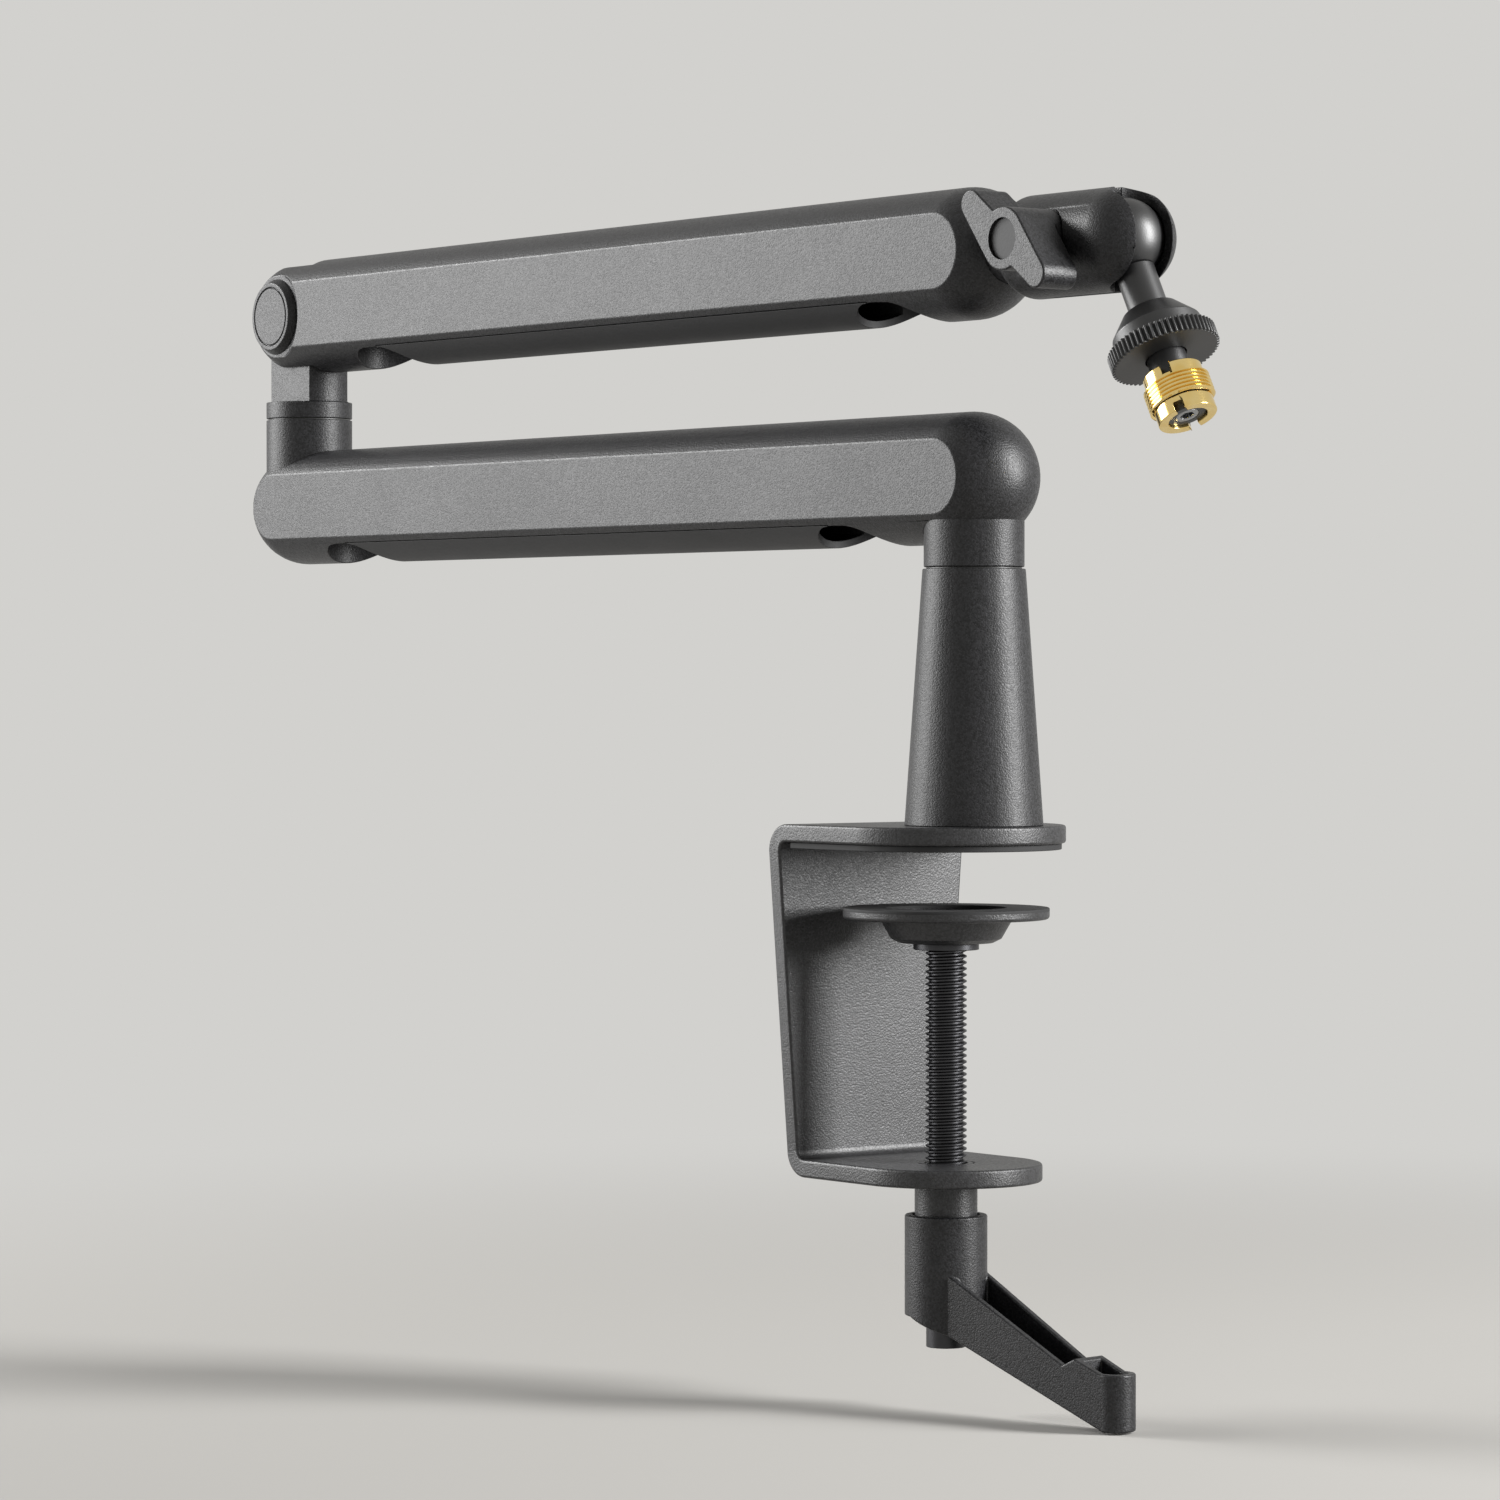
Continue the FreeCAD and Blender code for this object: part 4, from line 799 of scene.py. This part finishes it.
class BOOMARM_OT_cable_covers(bpy.types.Operator):
    """Round the edges of the clip-in cable covers"""

    bl_idname = "boom_arm.cable_covers"
    bl_label = "Cable Covers"

    def execute(self, context):
        for node in ("lower_cable_cover", "upper_cable_cover"):
            piece = welded_copy(node, f"{node}_moulding")
            round_edges(piece, context.scene.boom_arm_sizes.cover_edge)
            hand_over(piece, node)
        return {"FINISHED"}


class BOOMARM_OT_small_pieces(bpy.types.Operator):
    """Ease the edges of the elbow's knuckle and of the turned and moulded small pieces"""

    bl_idname = "boom_arm.small_pieces"
    bl_label = "Small Pieces"

    nodes = (
        "elbow_knuckle", "hinge_cap_near", "hinge_cap_far", "screw_bush", "head_ball", "ball_stem",
        "thumb_nut", "knob_cap", "lever_bolt", "pad_collar", "pad_retainer", "jaw_liner",
        "stem_end_screw",
    )

    def execute(self, context):
        for node in self.nodes:
            piece = welded_copy(node, f"{node}_finished")
            round_edges(piece, context.scene.boom_arm_sizes.fine_edge)
            hand_over(piece, node)
        return {"FINISHED"}


class BOOMARM_OT_clamp_screw(bpy.types.Operator):
    """Model the clamp screw with its helical thread, and its plain tail and spigot"""

    bl_idname = "boom_arm.clamp_screw"
    bl_label = "Clamp Screw"

    def execute(self, context):
        sizes = context.scene.boom_arm_sizes
        place = joint_place("screw_turn")
        points = local_points("clamp_screw", place)
        start, end = ends(points)
        crest, low, high = thread_span(points, sizes.screw_pitch)
        screw = helical_thread("clamp_screw_threaded", crest, sizes.screw_depth,
                               sizes.screw_pitch, low, high, sizes.thread_steps)
        rods = []
        for first, last, open_end in ((start, low, start), (high, end, end)):
            start_clear()
            bpy.ops.mesh.primitive_cylinder_add(vertices=ROD_FACETS,
                                                radius=reach_at(points, open_end),
                                                depth=last - first,
                                                location=(0, 0, (first + last) / 2))
            rod = bpy.context.object
            bpy.ops.object.transform_apply(location=True, rotation=True, scale=True)
            round_edges(rod, sizes.fine_edge)
            rods.append(rod)
        join(screw, rods)
        lay_down(screw, place)
        hand_over(screw, "clamp_screw")
        return {"FINISHED"}


class BOOMARM_OT_brass_adapter(bpy.types.Operator):
    """Model the brass adapter: helical thread between two rings slotted for a driver"""

    bl_idname = "boom_arm.brass_adapter"
    bl_label = "Brass Adapter"

    def execute(self, context):
        sizes = context.scene.boom_arm_sizes
        place = joint_place("stem_spin")
        points = local_points("thread_adapter", place)
        start, end = ends(points)
        crest, low, high = thread_span(points, sizes.adapter_pitch)
        adapter = helical_thread("brass_thread_adapter", crest, sizes.adapter_depth,
                                 sizes.adapter_pitch, low, high, sizes.thread_steps)
        bore = min(radius for radius, height in points)
        ring_r = reach_at(points, end)
        # The block reaches past the ring, and half of its depth lies beyond the open end
        block = (sizes.adapter_slot, ring_r * 3, sizes.adapter_slot * 2)
        rings = []
        for first, last, open_end in ((start, low, start), (high, end, end)):
            section = [(bore, first), (ring_r, first), (ring_r, last), (bore, last)]
            ring = turned_ring("adapter_ring", section)
            cut_slot(ring, block, open_end, sizes.adapter_turn)
            round_edges(ring, sizes.fine_edge)
            rings.append(ring)
        join(adapter, rings)
        lay_down(adapter, place)
        hand_over(adapter, "thread_adapter")
        return {"FINISHED"}


def seen_ray(tree):
    """1 for rays that show the backdrop, straight or by reflection, 0 for rays that only light."""
    path = add(tree, "ShaderNodeLightPath")
    seen = path.outputs["Is Camera Ray"]
    for ray in ("Is Glossy Ray", "Is Transmission Ray"):
        either = add(tree, "ShaderNodeMath", {0: seen, 1: path.outputs[ray]}, operation="MAXIMUM")
        seen = either.outputs["Value"]
    return seen


class BOOMARM_OT_stage(bpy.types.Operator):
    """Lay the floor, hang the lamps and set up the camera"""

    bl_idname = "boom_arm.stage"
    bl_label = "Stage"

    def execute(self, context):
        stage = context.scene.boom_arm_stage
        colours = context.scene.boom_arm_colours
        self.lay_floor(stage, colours)
        self.light_world(context.scene, stage, colours)
        self.hang_lamps(stage)
        self.place_camera(context.scene, stage)
        context.scene.view_settings.view_transform = "Standard"
        return {"FINISHED"}

    def lay_floor(self, stage, colours):
        """A wide round floor under the lowest point of the arm, of paper that fades away."""
        start_clear()
        bpy.ops.mesh.primitive_circle_add(vertices=FLOOR_FACETS, radius=stage.floor_radius,
                                          fill_type="NGON",
                                          location=(0, 0, CAD_BOX[0][2] - FLOOR_GAP))
        floor = bpy.context.object
        floor.name = "floor"
        bpy.ops.object.transform_apply(location=True, rotation=True, scale=True)
        material, tree, spot = blank_material("studio_floor")
        reach = add(tree, "ShaderNodeVectorMath", {0: spot}, operation="LENGTH")
        fade = add(tree, "ShaderNodeMapRange", {
            "Value": reach.outputs["Value"],
            "From Min": stage.shadow_near, "From Max": stage.shadow_far,
        }, interpolation_type="SMOOTHSTEP")
        seen = add(tree, "ShaderNodeMath", {
            0: seen_ray(tree), 1: fade.outputs["Result"],
        }, operation="MULTIPLY")
        paper = add(tree, "ShaderNodeBsdfPrincipled", {
            "Base Color": rgba(colours.floor), "Roughness": 0.8, "Specular IOR Level": 0.0,
        })
        glow = add(tree, "ShaderNodeEmission", {
            "Color": rgba(colours.backdrop), "Strength": 1.0,
        })
        mix = add(tree, "ShaderNodeMixShader", {
            0: seen.outputs["Value"], 1: paper.outputs["BSDF"], 2: glow.outputs["Emission"],
        })
        add(tree, "ShaderNodeOutputMaterial", {"Surface": mix.outputs["Shader"]})
        floor.data.materials.append(material)

    def light_world(self, scene, stage, colours):
        """Even fill from all round, seen as a pale backdrop."""
        world = bpy.data.worlds.new("studio")
        scene.world = world
        world.use_nodes = True
        tree = world.node_tree
        tree.nodes.clear()
        fill = add(tree, "ShaderNodeBackground", {
            "Color": rgba(colours.backdrop), "Strength": stage.fill,
        })
        shown = add(tree, "ShaderNodeBackground", {
            "Color": rgba(colours.backdrop), "Strength": 1.0,
        })
        mix = add(tree, "ShaderNodeMixShader", {
            0: seen_ray(tree), 1: fill.outputs["Background"], 2: shown.outputs["Background"],
        })
        add(tree, "ShaderNodeOutputWorld", {"Surface": mix.outputs["Shader"]})

    def hang_lamps(self, stage):
        """A broad lamp on the left, a tall one on the right and a small high one for the edges."""
        powers = {"key": stage.key_power, "rim": stage.rim_power, "edge": stage.edge_power}
        for name, (spot, wide, tall) in LAMPS.items():
            start_clear()
            bpy.ops.object.light_add(type="AREA", location=spot)
            lamp = bpy.context.object
            lamp.name = f"{name}_lamp"
            lamp.data.energy = powers[name]
            lamp.data.shape = "RECTANGLE"
            lamp.data.size = wide
            lamp.data.size_y = tall
            lamp.visible_camera = False
            lamp.rotation_euler = (LAMP_AIM - Vector(spot)).to_track_quat("-Z", "Y").to_euler()

    def place_camera(self, scene, stage):
        """Look at the arm from the knob side and the jaw tips, almost level."""
        towards = Vector((-math.sin(stage.azimuth), math.cos(stage.azimuth), 0.0))
        right = Vector((math.cos(stage.azimuth), math.sin(stage.azimuth), 0.0))
        up = Vector((0.0, 0.0, 1.0))
        spot = up * stage.height - towards * stage.distance - right * stage.aside
        look = towards * math.cos(stage.pitch) - up * math.sin(stage.pitch)
        start_clear()
        bpy.ops.object.camera_add(location=spot)
        camera = bpy.context.object
        camera.rotation_euler = look.to_track_quat("-Z", "Y").to_euler()
        camera.data.lens = stage.focal
        camera.data.sensor_width = stage.sensor
        camera.data.clip_end = CAMERA_REACH
        scene.camera = camera


class BOOMARM_PT_panel(bpy.types.Panel):
    """Settings of the boom arm, and the steps that dress it, in order"""

    bl_idname = "BOOMARM_PT_panel"
    bl_label = "Boom Arm"
    bl_space_type = "VIEW_3D"
    bl_region_type = "UI"
    bl_category = "Boom Arm"

    def draw(self, context):
        for name, group in GROUPS.items():
            box = self.layout.box()
            for setting in group.__annotations__:
                box.prop(getattr(context.scene, name), setting)
        for operator in OPERATORS:
            self.layout.operator(operator.bl_idname)


OPERATORS = (
    BOOMARM_OT_finish_solids,
    BOOMARM_OT_castings,
    BOOMARM_OT_clamp_bracket,
    BOOMARM_OT_pressure_pad,
    BOOMARM_OT_cable_covers,
    BOOMARM_OT_small_pieces,
    BOOMARM_OT_clamp_screw,
    BOOMARM_OT_brass_adapter,
    BOOMARM_OT_stage,
)
GROUPS = {
    "boom_arm_sizes": BoomArmSizes,
    "boom_arm_colours": BoomArmColours,
    "boom_arm_stage": BoomArmStage,
}


def register():
    for group in GROUPS.values():
        bpy.utils.register_class(group)
    for operator in OPERATORS:
        bpy.utils.register_class(operator)
    bpy.utils.register_class(BOOMARM_PT_panel)
    for name, group in GROUPS.items():
        setattr(bpy.types.Scene, name, PointerProperty(type=group))


def unregister():
    for name in GROUPS:
        delattr(bpy.types.Scene, name)
    bpy.utils.unregister_class(BOOMARM_PT_panel)
    for operator in reversed(OPERATORS):
        bpy.utils.unregister_class(operator)
    for group in reversed(GROUPS.values()):
        bpy.utils.unregister_class(group)


def main():
    register()
    bpy.ops.boom_arm.finish_solids()
    bpy.ops.boom_arm.castings()
    bpy.ops.boom_arm.clamp_bracket()
    bpy.ops.boom_arm.pressure_pad()
    bpy.ops.boom_arm.cable_covers()
    bpy.ops.boom_arm.small_pieces()
    bpy.ops.boom_arm.clamp_screw()
    bpy.ops.boom_arm.brass_adapter()
    bpy.ops.boom_arm.stage()


if __name__ == "__main__":
    main()
